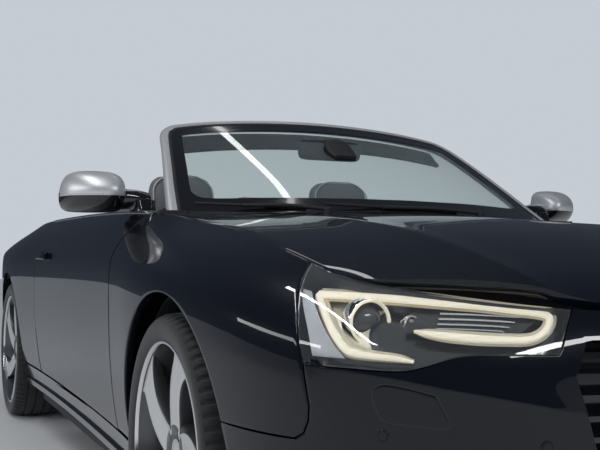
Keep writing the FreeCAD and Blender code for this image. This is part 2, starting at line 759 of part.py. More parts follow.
boot_hinge_z = top_z(deck_sections, deck_columns, deck_height, boot_hinge_x, lid_hinge_y) - lid_hinge_drop
soft_hinge_z = top_z(deck_sections, deck_columns, deck_height, soft_hinge_x, lid_hinge_y) - lid_hinge_drop
boot_side = station_at(boot_front_x, belt_row)
soft_side = station_at(boot_front_x + lid_gap, belt_row)
lid_labels = [deck_side + (soft_side - deck_side) * k / 4.0 for k in range(5)]
deck_zone = outline_prism(belt_outline(lid_labels, panel_gap), 300, 1200)
parts["soft_top_lid"] = hinged_lid(deck_skin.common(deck_zone), soft_hinge_x, boot_front_x - 20, soft_hinge_z)
boot_labels = [boot_side + (tail_station - boot_side) * k / 10.0 for k in range(11)]
corner_relief = (7.0, 3.5)
boot_edge = []
for index, label in enumerate(boot_labels):
    relief = corner_relief[index] if index < len(corner_relief) else 0.0
    boot_edge.extend(belt_outline([label], panel_gap + relief))
boot_edge[-1] = V(boot_edge[-1].x, 1.0, 0)
boot_zone = outline_prism(boot_edge, 300, 1200)
boot_top = hinged_lid(deck_skin.common(boot_zone), boot_hinge_x, boot_front_x + 20, boot_hinge_z)
tail_face = ring_panel((last_station - 2.2, last_station + 2.2), (0.9, belt_row), skin)
tail_opening = box(behind_tail, tail_x + 324, -boot_half_width, boot_half_width, boot_sill_z, 1200)
tail_face = tail_face.common(tail_opening)
parts["boot_lid"] = joined([boot_top, tail_face])
print("hinge heights", round(bonnet_hinge_z, 3), round(boot_hinge_z, 3), round(soft_hinge_z, 3))

# Windscreen: rows bottom to top: x and z at the middle, half width, sweep back and drop at the side
screen_rows = (
    (1165.0, 862.0, 716.0, 178.0, -4.0),
    (1000.0, 956.0, 700.0, 168.0, 0.0),
    (790.0, 1082.0, 668.0, 132.0, 8.0),
    (565.0, 1210.0, 634.0, 92.0, 18.0),
    (338.0, 1334.0, 600.0, 58.0, 32.0),
    (110.0, 1454.0, 566.0, 30.0, 46.0),
)
screen_columns = (-1.25, -1.0, -0.8, -0.5, 0.0, 0.5, 0.8, 1.0, 1.25)


def screen_pole(row, share, depth):
    x, z, half, sweep, drop = screen_rows[row]
    lean = math.radians(30)
    bend = share * share
    return V(x - sweep * bend - depth * math.sin(lean), -half * share, z - drop * bend - depth * math.cos(lean))


def screen_panel(start, depth, u_range, v_range):
    rows = range(len(screen_rows))
    outer = [[screen_pole(row, share, start) for row in rows] for share in screen_columns]
    inner = [[screen_pole(row, share, start + depth) for row in rows] for share in screen_columns]
    return net_solid(outer, inner, 0, 0, u_range, v_range)


lean = math.radians(30)
screen_normal = V(math.sin(lean), 0, math.cos(lean))
screen_up = V(-math.cos(lean), 0, math.sin(lean))
screen_base = V(1000, 0, 956)


def screen_prism(outline):
    """Outline of (across, up) points on the screen's plane, swept through it."""
    points = []
    for across, up in outline:
        points.append(screen_base + V(0, across, 0) + screen_up * up - screen_normal * 300)
    return prism(points, screen_normal * 600)


screen_hole = screen_prism((
    (-700, -40), (700, -40), (640, 85), (612, 240), (585, 400), (556, 560), (545, 640), (520, 668), (470, 690),
    (300, 702), (0, 708), (-300, 702), (-470, 690), (-520, 668), (-545, 640), (-556, 560), (-585, 400),
    (-612, 240), (-640, 85),
))
frame_panel = screen_panel(0.0, 45.0, (1.02, 6.98), (1.02, 4.0))
parts["windscreen_frame"] = frame_panel.cut(screen_hole)
parts["windscreen"] = screen_panel(6.0, 5.0, (1.02, 6.98), (1.02, 4.0)).common(screen_hole)


# Wheels
def arm_outline(turn):
    """One swept spoke as a closed outline of (along x, along z) points."""
    points = []
    for radius, lead, half in ((55, 0, 40), (110, 4, 34), (170, 12, 36), (225, 22, 44), (262, 30, 52)):
        points.append((radius, lead + math.degrees(math.atan2(half, radius))))
    for radius, lead, half in ((262, 30, 30), (225, 22, 30), (170, 12, 28), (110, 4, 30), (55, 0, 40)):
        points.append((radius, lead - math.degrees(math.atan2(half, radius))))
    outline = []
    for radius, angle in points:
        a = math.radians(angle + turn)
        outline.append((radius * math.cos(a), radius * math.sin(a)))
    return outline


def wheel_rim(x):
    outer = wheel_y + tyre_width / 2 - 8
    inner = wheel_y - tyre_width / 2 + 8
    barrel = spun((
        (rim_radius, outer - wheel_y), (rim_radius - rim_wall, outer - wheel_y),
        (rim_radius - 22, outer - wheel_y - 30), (rim_radius - 30, outer - wheel_y - 60),
        (rim_radius - 30, inner - wheel_y + 30), (rim_radius - rim_wall, inner - wheel_y),
        (rim_radius, inner - wheel_y), (rim_radius - 8, inner - wheel_y + 24),
        (rim_radius - 20, inner - wheel_y + 40), (rim_radius - 20, outer - wheel_y - 40),
        (rim_radius - 8, outer - wheel_y - 22),
    ), x, wheel_y, axle_z)
    face_y = outer - 12
    face = face_y - wheel_y
    arms = []
    for index in range(spoke_count):
        turn = 90 + index * 360.0 / spoke_count
        points = [V(x + a, face_y - 70, axle_z + b) for a, b in arm_outline(turn)]
        arms.append(prism(points, V(0, 70, 0)))
    dished = spun(((30, face - 46), (rim_radius - 6, face - 34), (rim_radius - 6, face), (210, face - 3),
                   (120, face - 12), (30, face - 20)), x, wheel_y, axle_z)
    hub = spun(((hub_bore, 18), (78, 18), (78, face - 22), (66, face - 14), (hub_bore, face - 14)),
               x, wheel_y, axle_z)
    cap = Part.makeCylinder(hub_bore + 1, 8, V(x, face_y - 26, axle_z), V(0, 1, 0))
    rim = joined([barrel, hub, cap] + [arm.common(dished) for arm in arms])
    cutters = []
    for index in range(lug_count):
        a = math.radians(90 + (index + 0.5) * 360.0 / lug_count)
        place = V(x + lug_circle * math.cos(a), face_y - 30, axle_z + lug_circle * math.sin(a))
        cutters.append(Part.makeCylinder(lug_hole_radius, 60, place, V(0, 1, 0)))
    return rim.cut(cutters)


def wheel_tyre(x):
    half = tyre_width / 2
    sides = ((rim_radius + 0.3, half - 8), (rim_radius + 24, half), (wheel_radius - 12, half - 7),
             (wheel_radius, half - 26))
    profile = [(radius, -offset) for radius, offset in sides]
    return spun(profile + list(reversed(sides)), x, wheel_y, axle_z)


def brake_disc(x):
    face = wheel_y - 22
    disc = spun(((80, face), (disc_radius, face), (disc_radius, face + disc_thickness),
                 (80, face + disc_thickness)), x, 0, axle_z)
    hat = spun(((36, face + 12), (85, face + 12), (85, wheel_y + 17.7), (36, wheel_y + 17.7)), x, 0, axle_z)
    return joined([disc, hat])


for end, axle_x in (("front", front_axle_x), ("rear", rear_axle_x)):
    for side in ("left", "right"):
        pieces = {"rim": wheel_rim(axle_x), "tyre": wheel_tyre(axle_x), "disc": brake_disc(axle_x)}
        for piece in pieces:
            shape = pieces[piece]
            if side == "right":
                shape = mirrored(shape)
            parts[piece + "_" + end + "_" + side] = shape


# Knuckles and axles: the knuckle's back is round about its steering line, and the arms end at it
def knuckle(x):
    turning = Part.makeCylinder(knuckle_radius, 340, V(x, wheel_y, axle_z - 150))
    foot = [(-45, -150), (45, -150), (52, -40), (52, 60), (30, 190), (-30, 190), (-52, 60), (-52, -40)]
    upright = side_sheet([(x + a, axle_z + b) for a, b in foot], wheel_y - 100, wheel_y - 50).common(turning)
    spindle = Part.makeCylinder(spindle_radius, 150, V(x, wheel_y - 80, axle_z), V(0, 1, 0))
    jaw = [(-195, -70), (-208, 0), (-195, 70), (-130, 62), (-118, 0), (-130, -62)]
    caliper = side_sheet([(x + a, axle_z + b) for a, b in jaw], wheel_y - 60, wheel_y + 38)
    slot = Part.makeCylinder(disc_radius + 5, disc_thickness + 10, V(x, wheel_y - 27, axle_z), V(0, 1, 0))
    bridge = box(x - 150, x - 30, wheel_y - 78, wheel_y - 52, axle_z - 25, axle_z + 25)
    return joined([upright, spindle, caliper.cut(slot), bridge])


front_knuckle = knuckle(front_axle_x)
parts["knuckle_left"] = front_knuckle
parts["knuckle_right"] = mirrored(front_knuckle)


def axle_side(x, end_y):
    """Lower and upper arms of one side, from the subframe out to the knuckle."""
    arms = []
    for lead in (-170, 150):
        arms.append(rod(V(x + lead, 420, axle_z - 130), V(x, end_y, axle_z - 120), 16))
    for lead in (-60, 60):
        arms.append(rod(V(x + lead, rail_outer - 10, axle_z + 110), V(x, end_y, axle_z + 140), 13))
    return arms


def subframe(x):
    """Two cross tubes between side plates that rise to the rails."""
    low = axle_z - 135
    pieces = []
    for lead in (-150, 150):
        pieces.append(rod(V(x + lead, -rail_outer, low), V(x + lead, rail_outer, low), 30))
    plate = [(-195, -30), (195, -30), (180, 30), (90, 80), (75, rail_z - low), (-75, rail_z - low),
             (-90, 80), (-180, 30)]
    for side in (-1, 1):
        y1, y2 = sorted((side * rail_inner, side * rail_outer))
        pieces.append(side_sheet([(x + a, low + b) for a, b in plate], y1, y2))
    return pieces


arm_space = Part.makeCylinder(knuckle_radius + pin_play, 500, V(front_axle_x, wheel_y, 0))
front_arms = [arm.cut(arm_space) for arm in axle_side(front_axle_x, wheel_y - 80)]
parts["front_axle"] = joined(subframe(front_axle_x) + front_arms + [mirrored(arm) for arm in front_arms])
rear_arms = axle_side(rear_axle_x, wheel_y - 80) + [knuckle(rear_axle_x)]
parts["rear_axle"] = joined(subframe(rear_axle_x) + rear_arms + [mirrored(arm) for arm in rear_arms])

# Wheel arch liners
liners = []
for axle_x in (front_axle_x, rear_axle_x):
    outside = Part.makeCylinder(arch_radius, 380, V(axle_x, 482, axle_z + arch_rise), V(0, 1, 0))
    inside = Part.makeCylinder(arch_radius - liner_wall, 400, V(axle_x, 486, axle_z + arch_rise), V(0, 1, 0))
    liner = outside.cut(inside).cut(box(axle_x - 400, axle_x + 400, 400, 1000, -100, 240))
    window = box(axle_x - 200, axle_x + 200, 480, 488, 100, axle_z + 180)
    liners.append(liner.cut(window))
parts["wheel_liners"] = Part.makeCompound(liners + [mirrored(liner) for liner in liners])

# Body tub: floor with its open tunnel, bulkhead, sills with jacking pads and door hinge arms
floor_low = floor_z - floor_thickness
tunnel_top = floor_z + tunnel_height
floor_sheet = cross_sheet((
    (0, tunnel_top), (tunnel_half, tunnel_top), (tunnel_half + 35, floor_z), (830, floor_z), (830, floor_low),
    (tunnel_half + 30, floor_low), (tunnel_half - 8, tunnel_top - 8), (0, tunnel_top - 8),
), heel_x, bulkhead_x)
bulkhead = cross_sheet((
    (0, tunnel_top - 8), (tunnel_half - 8, tunnel_top - 8), (tunnel_half + 30, floor_low), (740, floor_low),
    (800, 300), (885, 400), (885, 745), (800, 800), (772, 940), (0, 940),
), bulkhead_x, bulkhead_x + skin)
tub = [floor_sheet, bulkhead]
for side in (-1, 1):
    y1, y2 = sorted((side * (jack_y - 20), side * (jack_y + 20)))
    tub.append(side_sheet(((heel_x - 25, floor_low + 15), (bulkhead_x + 10, floor_low + 15),
                           (bulkhead_x + 10, 300), (heel_x + 60, 300), (heel_x - 25, 270)), y1, y2))
    for x in jack_x:
        y1, y2 = sorted((side * (jack_y - jack_half_width), side * (jack_y + jack_half_width)))
        tub.append(box(x - jack_half_length, x + jack_half_length, y1, y2, jack_z, floor_low + 20))
arm_line = (
    (door_hinge_x, door_hinge_y), (door_hinge_x + 24, door_hinge_y - 38), (bulkhead_x + 8, door_hinge_y - 50),
)
hinge_arms = []
for low, high in door_hinge_heights:
    eye = Part.makeCylinder(door_eye_radius, high - low, V(door_hinge_x, door_hinge_y, low))
    hole = Part.makeCylinder(door_pin_radius + pin_play, high - low + 2, V(door_hinge_x, door_hinge_y, low - 1))
    hinge_arms.append(joined([eye, strap(arm_line, 6, low, high)]).cut(hole))
tub.extend(hinge_arms)
tub.extend([mirrored(arm) for arm in hinge_arms])

# Rear floor: heel board, seat pan and rear wall as one bent sheet, boot floor, shelf with hinge posts
shelf_mid = (boot_hinge_x + soft_hinge_x) / 2
rear_floor = [
    side_sheet(((heel_x, floor_low), (heel_x, 452), (rear_wall_x, 436), (rear_wall_x - 34, 890),
                (rear_wall_x - 60, 890), (rear_wall_x - 28, 411), (heel_x - 25, 426), (heel_x - 25, floor_low)),
               -470, 470),
    box(heel_x - 25, heel_x, -830, 830, floor_low, 420),
    box(rear_wall_x - 56, rear_wall_x - 30, -700, 700, 722, 890),
    side_sheet(((rear_wall_x - 26, 402), (rear_axle_x - 169, 330), (tail_x + 159, 330), (tail_x + 159, 520),
                (tail_x + 129, 520), (tail_x + 129, 300), (rear_axle_x - 159, 300), (rear_wall_x - 26, 372)),
               -rail_inner, rail_inner),
    box(tail_x + 184, rear_axle_x - 394, -620, 620, 300, 330),
    side_sheet(((boot_hinge_x - 25, shelf_z), (soft_hinge_x + 25, shelf_z), (soft_hinge_x + 25, shelf_z - 12),
                (shelf_mid + 20, shelf_z - 30), (shelf_mid + 20, 310), (shelf_mid, 310),
                (shelf_mid, shelf_z - 30), (boot_hinge_x - 25, shelf_z - 12)), -470, 470),
    side_sheet(((boot_hinge_x - 25, shelf_z), (soft_hinge_x + 25, shelf_z), (soft_hinge_x + 25, shelf_z - 12),
                (boot_hinge_x - 25, shelf_z - 12)), -900, 900),
]
for y in (-lid_hinge_y, lid_hinge_y):
    rear_floor.append(hinge_post(boot_hinge_x, y, boot_hinge_z))
    rear_floor.append(hinge_post(soft_hinge_x, y, soft_hinge_z))

# Frame rails: front rails with a crash beam, and short rear rails over the axle
rails = []
for side in (-1, 1):
    y1, y2 = sorted((side * rail_inner, side * rail_outer))
    rails.append(side_sheet(((bulkhead_x + skin, rail_z - 20), (1200, rail_z),
                             (2150, rail_z), (2150, rail_z + 90),
                             (1200, rail_z + 110), (bulkhead_x + skin, rail_z + 140)), y1, y2))
crash_beam = prism([V(2130, -620, rail_z), V(2170, -400, rail_z), V(2188, 0, rail_z), V(2170, 400, rail_z),
                    V(2130, 620, rail_z), V(2110, 620, rail_z), V(2130, 0, rail_z), V(2110, -620, rail_z)],
                   V(0, 0, 90))
parts["front_rails"] = joined(rails + [crash_beam])
for side in (-1, 1):
    y1, y2 = sorted((side * rail_inner, side * rail_outer))
    rear_floor.append(side_sheet(((rear_wall_x - 28, rail_z), (rear_axle_x - 389, rail_z),
                                  (rear_axle_x - 389, rail_z + 40), (rear_wall_x - 30, rail_z + 60)), y1, y2))

beam_line = ((129, -540), (92, -300), (84, 0), (92, 300), (129, 540))
rear_floor.append(prism([V(tail_x + lead, y, 350) for lead, y in beam_line], V(0, 0, 170)))
skin_seats = [wing, mirrored(wing), quarter, mirrored(quarter), sill, mirrored(sill), parts["rear_bumper"],
              parts["front_bumper"]]


def largest(shape):
    return max(shape.Solids, key=lambda solid: solid.Volume)


parts["front_rails"] = largest(parts["front_rails"].cut(skin_seats))
parts["body_tub"] = largest(joined(tub).cut(skin_seats + lug_slots + [scuttle]))
engine = side_sheet(((960, 420), (1600, 420), (1600, 800), (1540, 835), (1010, 840), (960, 800)), -300, 300)
sump = box(1290, 1590, -180, 180, axle_z - 105, 420)
parts["engine_block"] = joined([engine, sump])


# Seats
def seat_ring(x, z, half, height, lean_angle, y):
    """Rounded ring of poles across a seat piece."""
    a = math.radians(lean_angle)
    points = []
    for across, up in ((-1, -0.6), (-1, 0.6), (-0.6, 1), (0.6, 1), (1, 0.6), (1, -0.6), (0.6, -1), (-0.6, -1)):
        points.append(V(x + height * up * math.sin(a), y + half * across, z + height * up * math.cos(a)))
    return points


def seat(x, y, half, head):
    cushion = tube([
        seat_ring(x - 20, 330, half, 60, 0, y), seat_ring(x + 60, 335, half, 62, 0, y),
        seat_ring(x + 250, 345, half, 66, 0, y), seat_ring(x + 420, 362, half, 66, 0, y),
        seat_ring(x + 500, 360, half - 10, 40, 0, y),
    ])
    back = tube([
        seat_ring(x - 20, 330, half - 10, 62, 74, y), seat_ring(x - 50, 440, half, 68, 74, y),
        seat_ring(x - 110, 650, half, 62, 74, y), seat_ring(x - 175, 860, half - 30, 50, 74, y),
        seat_ring(x - 195, 930, half - 70, 36, 74, y),
    ])
    rest = tube([
        seat_ring(x - 200, 955, 125, 40, 74, y), seat_ring(x - 208, 985, 138, 52, 74, y),
        seat_ring(x - 224, 1060, 140, 52, 74, y), seat_ring(x - 240, 1120, 125, 40, 74, y),
        seat_ring(x - 246, 1140, 100, 22, 74, y),
    ])
    posts = []
    for across in (-50, 50):
        posts.append(rod(V(x - 185, y + across, 900), V(x - 205, y + across, 990), 7))
    base = box(x + 40, x + 400, y - 190, y + 190, floor_z, 300)
    return joined([cushion, back, rest, base] + posts)


front_seat = seat(60, seat_y, seat_half, 1150)
parts["seat_front_left"] = front_seat
parts["seat_front_right"] = mirrored(front_seat)
rear_cushion = tube([
    seat_ring(rear_wall_x + 70, 480, 460, 40, 0, 0), seat_ring(rear_wall_x + 110, 484, 470, 56, 0, 0),
    seat_ring(rear_wall_x + 250, 490, 470, 60, 0, 0), seat_ring(rear_wall_x + 410, 500, 470, 60, 0, 0),
    seat_ring(rear_wall_x + 460, 500, 460, 40, 0, 0),
])
rear_back = tube([
    seat_ring(rear_wall_x + 150, 480, 460, 52, 78, 0), seat_ring(rear_wall_x + 140, 540, 470, 56, 78, 0),
    seat_ring(rear_wall_x + 110, 720, 470, 56, 78, 0), seat_ring(rear_wall_x + 75, 880, 470, 50, 78, 0),
    seat_ring(rear_wall_x + 65, 920, 460, 30, 78, 0),
])
rear_rests = []
for side in (-1, 1):
    rest_y = 330 * side
    rear_rests.append(tube([
        seat_ring(rear_wall_x + 65, 890, 105, 36, 78, rest_y),
        seat_ring(rear_wall_x + 60, 940, 118, 46, 78, rest_y),
        seat_ring(rear_wall_x + 50, 1040, 120, 46, 78, rest_y),
        seat_ring(rear_wall_x + 38, 1110, 112, 40, 78, rest_y),
        seat_ring(rear_wall_x + 34, 1130, 90, 20, 78, rest_y),
    ]))
parts["rear_seat"] = joined([rear_cushion, rear_back] + rear_rests)
rear_shell = joined(rear_floor).cut(skin_seats + [parts["rear_seat"], parts["body_tub"]])
parts["rear_floor"] = largest(rear_shell)

# Dashboard, console and steering wheel
dash_sections = ((-735, 895, 640), (-600, 905, 630), (0, 910, 600), (600, 905, 630), (735, 895, 640))
dash_rings = []
for y, top, foot in dash_sections:
    dash_rings.append([V(870, y, 760), V(870, y, top), V(740, y, top + 20), V(555, y, top - 40),
                       V(555, y, 720), V(700, y, foot)])
dash = tube(dash_rings)
console = box(-350, 700, -110, 110, floor_z + tunnel_height, 520)
stack = prism([V(450, -110, 515), V(720, -110, 515), V(700, -110, 690), V(620, -110, 690)], V(0, 220, 0))
parts["centre_console"] = joined([console, stack])

tilt = math.radians(steering_tilt)
wheel_axis = V(-math.cos(tilt), 0, math.sin(tilt))
wheel_place = V(steering_x, seat_y, steering_z)
rim_ring = Part.makeTorus(steering_radius, 15, wheel_place, wheel_axis)
boss = Part.makeCylinder(70, 50, wheel_place - wheel_axis * 40, wheel_axis)
across = V(0, 1, 0)
upward = wheel_axis.cross(across)
spokes = []
for way in (across, across * -1.0, upward * -1.0):
    if way.z > 0.1:
        way = way * -1.0
    spokes.append(rod(wheel_place - wheel_axis * 15, wheel_place + way * steering_radius, 12))
column = rod(wheel_place - wheel_axis * 110, wheel_place - wheel_axis * 30, 24)
parts["steering_wheel"] = joined([rim_ring, boss, column] + spokes)
shroud = rod(wheel_place - wheel_axis * 240, wheel_place - wheel_axis * 48, 42)
shroud_bore = rod(wheel_place - wheel_axis * 111, wheel_place - wheel_axis * 40, 24.3)
parts["dashboard"] = joined([dash, shroud]).cut([shroud_bore, parts["centre_console"]])


# Mirrors
def mirror_ring(y, x, z, half_x, half_z):
    points = []
    for a in range(8):
        angle = math.radians(a * 45)
        points.append(V(x + half_x * math.cos(angle), y, z + half_z * math.sin(angle)))
    return points


mirror_head = tube([
    mirror_ring(845, 690, 985, 40, 40), mirror_ring(860, 690, 990, 75, 68), mirror_ring(920, 675, 998, 82, 76),
    mirror_ring(985, 640, 1000, 74, 66), mirror_ring(1010, 615, 1002, 40, 36),
])
mirror_foot = prism([V(820, 785, 936), V(700, 785, 936), V(650, 880, 936), V(720, 880, 936)], V(0, 0, 40))
glass_plane = prism([V(400, 800, 850), V(645, 800, 850), V(588, 1020, 850), V(400, 1020, 850)], V(0, 0, 300))
parts["mirror_left"] = joined([mirror_head.cut(glass_plane), mirror_foot]).cut(door)
parts["mirror_right"] = mirrored(parts["mirror_left"])

# Interior mirror, wipers, exhaust tips
interior = tube([
    mirror_ring(-124, 490, 1199, 8, 20), mirror_ring(-114, 490, 1199, 14, 33),
    mirror_ring(-60, 488, 1199, 16, 37),
    mirror_ring(60, 488, 1199, 16, 37), mirror_ring(114, 490, 1199, 14, 33), mirror_ring(124, 490, 1199, 8, 20),
])
stem = rod(V(495, 0, 1210), V(528, 0, 1222), 12)
parts["interior_mirror"] = largest(joined([interior, stem]).cut(parts["windscreen"]))
parts["scuttle"] = largest(scuttle.cut([parts["windscreen_frame"], parts["windscreen"]]))
wipers = []
for base_y, tip_y, base_x, tip_x in ((330, -260, 980, 972), (-250, -690, 985, 862)):
    arm = rod(V(base_x, base_y, 971), V(tip_x, tip_y, 990), 7)
    pivot = rod(V(base_x, base_y, 930), V(base_x, base_y, 973), 11)
    wipers.append(arm.fuse(pivot).cut(parts["scuttle"]))
parts["wipers"] = Part.makeCompound(wipers)
tip = tip_body.cut(Part.makeCylinder(tip_radius - 6, 100, V(tail_x + 53, tip_y, tip_z), V(1, 0, 0)))
parts["exhaust_tips"] = Part.makeCompound([tip, mirrored(tip)])

os.makedirs("parts", exist_ok=True)
for name in sorted(parts):
    shape = parts[name]
    shape.exportStep("parts/" + name + ".step")
    extent = shape.BoundBox
    print(name, len(shape.Solids), shape.isValid(), round(shape.Volume / 1e6, 2),
          round(extent.XMin), round(extent.XMax), round(extent.YMin), round(extent.YMax),
          round(extent.ZMin), round(extent.ZMax))
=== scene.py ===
import math

import bpy
import numpy as np
from mathutils import Matrix, Vector


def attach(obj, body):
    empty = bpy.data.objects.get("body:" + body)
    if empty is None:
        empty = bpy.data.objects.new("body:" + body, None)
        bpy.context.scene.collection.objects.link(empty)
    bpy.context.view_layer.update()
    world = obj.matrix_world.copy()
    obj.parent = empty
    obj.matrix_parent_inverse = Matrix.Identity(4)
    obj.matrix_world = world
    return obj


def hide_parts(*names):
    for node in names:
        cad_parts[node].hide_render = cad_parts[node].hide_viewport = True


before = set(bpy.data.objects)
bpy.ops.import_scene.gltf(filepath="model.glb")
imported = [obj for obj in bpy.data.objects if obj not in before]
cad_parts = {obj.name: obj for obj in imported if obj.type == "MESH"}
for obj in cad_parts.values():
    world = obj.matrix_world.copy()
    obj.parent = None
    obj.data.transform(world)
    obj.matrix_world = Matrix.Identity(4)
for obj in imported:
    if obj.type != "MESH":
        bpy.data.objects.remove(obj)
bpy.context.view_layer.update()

bl_info = {
    "name": "Open two-door car",
    "version": (1, 0, 0),
    "blender": (4, 5, 0),
    "location": "3D View > Sidebar > Car",
    "description": "Models the painted shell, lamps, wheels, cabin and trim of an open two-door car",
    "category": "Object",
}

MM = 0.001
# Places inside the car, in metres, that skins look away from
CABIN_INSIDE = (0.2, 0, 0.5)
NOSE_INSIDE = (1.6, 0.2, 0.5)
SCREEN_INSIDE = (-0.5, 0, 0)
TAIL_INSIDE = (-1.6, 0, 0.5)

# The body side's stations from the nose round the left to the tail:
# x, half width, z of hem, side line and belt, inset of hem and belt, all in millimetres
RING_STATIONS = (
    (2334, 0, 205, 600, 700, 60, 36),
    (2326, 230, 203, 600, 702, 55, 36),
    (2288, 440, 198, 603, 712, 50, 40),
    (2222, 625, 192, 608, 735, 45, 118),
    (2110, 775, 188, 618, 754, 45, 104),
    (1965, 858, 188, 645, 786, 45, 128),
    (1790, 903, 192, 690, 826, 45, 170),
    (1440, 930, 200, 735, 878, 50, 205),
    (1085, 924, 203, 765, 912, 55, 195),
    (868, 905, 200, 783, 943, 55, 112),
    (200, 897, 205, 790, 956, 60, 82),
    (-540, 905, 210, 795, 958, 60, 82),
    (-930, 922, 215, 800, 952, 55, 105),
    (-1311, 933, 220, 805, 930, 50, 150),
    (-1690, 913, 225, 800, 905, 45, 180),
    (-1985, 848, 230, 785, 888, 45, 165),
    (-2165, 722, 235, 775, 880, 50, 130),
    (-2265, 500, 235, 775, 880, 60, 80),
    (-2312, 240, 235, 775, 884, 60, 60),
    (-2324, 0, 235, 775, 886, 60, 55),
)
# Rows from hem to belt: rise hem to line, rise line to belt, share of the hem's and of the belt's inset
RING_ROWS = (
    (0.0, 0.0, 1.0, 0.0),
    (0.22, 0.0, 0.45, 0.0),
    (0.48, 0.0, 0.12, 0.0),
    (0.78, 0.0, 0.0, 0.0),
    (1.0, 0.0, 0.0, 0.0),
    (1.0, 0.24, 0.0, 0.1),
    (1.0, 0.66, 0.0, 0.42),
    (1.0, 1.0, 0.0, 1.0),
)
# Bonnet sections from the nose back: x, z at the middle, at the crease and at the edge
BONNET_SECTIONS = (
    (2410, 540, 540, 500),
    (2330, 640, 640, 600),
    (2270, 722, 720, 660),
    (2180, 778, 772, 705),
    (2040, 826, 812, 742),
    (1880, 865, 850, 796),
    (1680, 897, 880, 840),
    (1440, 921, 905, 876),
    (1200, 938, 922, 900),
    (1000, 952, 936, 920),
    (850, 964, 950, 944),
    (700, 980, 966, 962),
    (560, 996, 982, 980),
)
# Columns across the bonnet: y, share of the fall to the crease, share of the fall to the edge
BONNET_COLUMNS = (
    (0, 0.0, 0.0), (210, 0.3, 0.0), (390, 0.85, 0.0), (440, 1.0, 0.0),
    (490, 1.0, 0.14), (610, 1.0, 0.54), (720, 1.0, 1.0), (830, 1.0, 1.6),
)

AXLE_X = (1440, -1311)
AXLE_Z = 333.5
WHEEL_Y = 787
ARCH_RADIUS = 380
ARCH_RISE = 4
HANDLE_X = (-240, -445)
HANDLE_Z = (785, 815)
PANEL_GAP = 5.5
SEAM_GAP = 3.0
NOSE_GAP = 6.0
DOOR_FRONT = 868
DOOR_REAR = -540
DOOR_BOTTOM = 296
SEAM_Z = 465
BONNET_REAR = 1040
BONNET_SIDE = 945


# Meshes and modifiers

def deselect():
    if bpy.context.object and bpy.context.object.mode != "OBJECT":
        bpy.ops.object.mode_set(mode="OBJECT")
    bpy.ops.object.select_all(action="DESELECT")


def activate(*objects):
    """Selects the objects and makes the first the active one."""
    deselect()
    for item in objects:
        item.select_set(True)
    bpy.context.view_layer.objects.active = objects[0]
    return objects[0]


def modify(item, kind, **settings):
    """Adds a modifier with the settings and applies it."""
    activate(item)
    modifier = item.modifiers.new(kind.title(), kind)
    for name, value in settings.items():
        setattr(modifier, name, value)
    bpy.ops.object.modifier_apply(modifier=modifier.name)
    return item


def spread_grid(name, rows):
    """Grid primitive whose vertices are spread over rows of points."""
    deselect()
    across = len(rows[0])
    bpy.ops.mesh.primitive_grid_add(x_subdivisions=across - 1, y_subdivisions=len(rows) - 1, size=1)
    item = bpy.context.object
    item.name = name
    flat = np.array([[tuple(point) for point in row] for row in rows], float).reshape(-1, 3)
    item.data.vertices.foreach_set("co", flat.ravel())
    item.data.update()
    return item


def join(items, name):
    """Joins objects into the first and merges the vertices that meet."""
    first = activate(*items)
    if len(items) > 1:
        bpy.ops.object.join()
    first.name = name
    merge(first, 0.0004)
    return first


def merge(item, distance):
    activate(item)
    bpy.ops.object.mode_set(mode="EDIT")
    bpy.ops.mesh.select_all(action="SELECT")
    bpy.ops.mesh.remove_doubles(threshold=distance)
    bpy.ops.object.mode_set(mode="OBJECT")


def outward(item):
    activate(item)
    bpy.ops.object.mode_set(mode="EDIT")
    bpy.ops.mesh.select_all(action="SELECT")
    bpy.ops.mesh.normals_make_consistent(inside=False)
    bpy.ops.object.mode_set(mode="OBJECT")


def smooth(item, angle=30):
    activate(item)
    bpy.ops.object.shade_smooth_by_angle(angle=math.radians(angle))
    return item


def thicken(item, depth, edge=1.2):
    """Gives an outer skin its wall, rounds its edges and shades it."""
    modify(item, "SOLIDIFY", thickness=depth * MM, offset=-1.0, use_even_offset=False, use_rim=True)
    if edge:
        modify(item, "BEVEL", width=edge * MM, segments=2, limit_method="ANGLE", angle_limit=math.radians(50))
    return smooth(item)


def mirrored_copy(item, name):
    """Copy on the other side of the car with its own mesh."""
    twin = item.copy()
    twin.data = item.data.copy()
    twin.name = name
    bpy.context.collection.objects.link(twin)
    twin.data.transform(Matrix.Scale(-1, 4, Vector((0, 1, 0))))
    twin.data.flip_normals()
    return twin


def finish_piece(item, body, material, nodes=()):
    """Gives a piece its finish and says which body it rides on and the nodes it stands for."""
    item.data.materials.clear()
    item.data.materials.append(materials[material])
    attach(item, body)
    if nodes:
        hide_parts(*nodes)
    return item


def finish_pair(piece, body, material, node=None):
    """Finishes a left piece and its right copy; a body or node that ends with _ gets the side's name."""
    twin = mirrored_copy(piece, piece.name.replace("left", "right"))
    for item, side in ((piece, "left"), (twin, "right")):
        own_body = body + side if body.endswith("_") else body
        finish_piece(item, own_body, material, [node + side] if node else ())
    return piece, twin


def second_finish(item, material, rule):
    """Gives the faces for which the rule holds another finish."""
    item.data.materials.append(materials[material])
    for face in item.data.polygons:
        face.material_index = int(rule(face))


# The body's curved surfaces

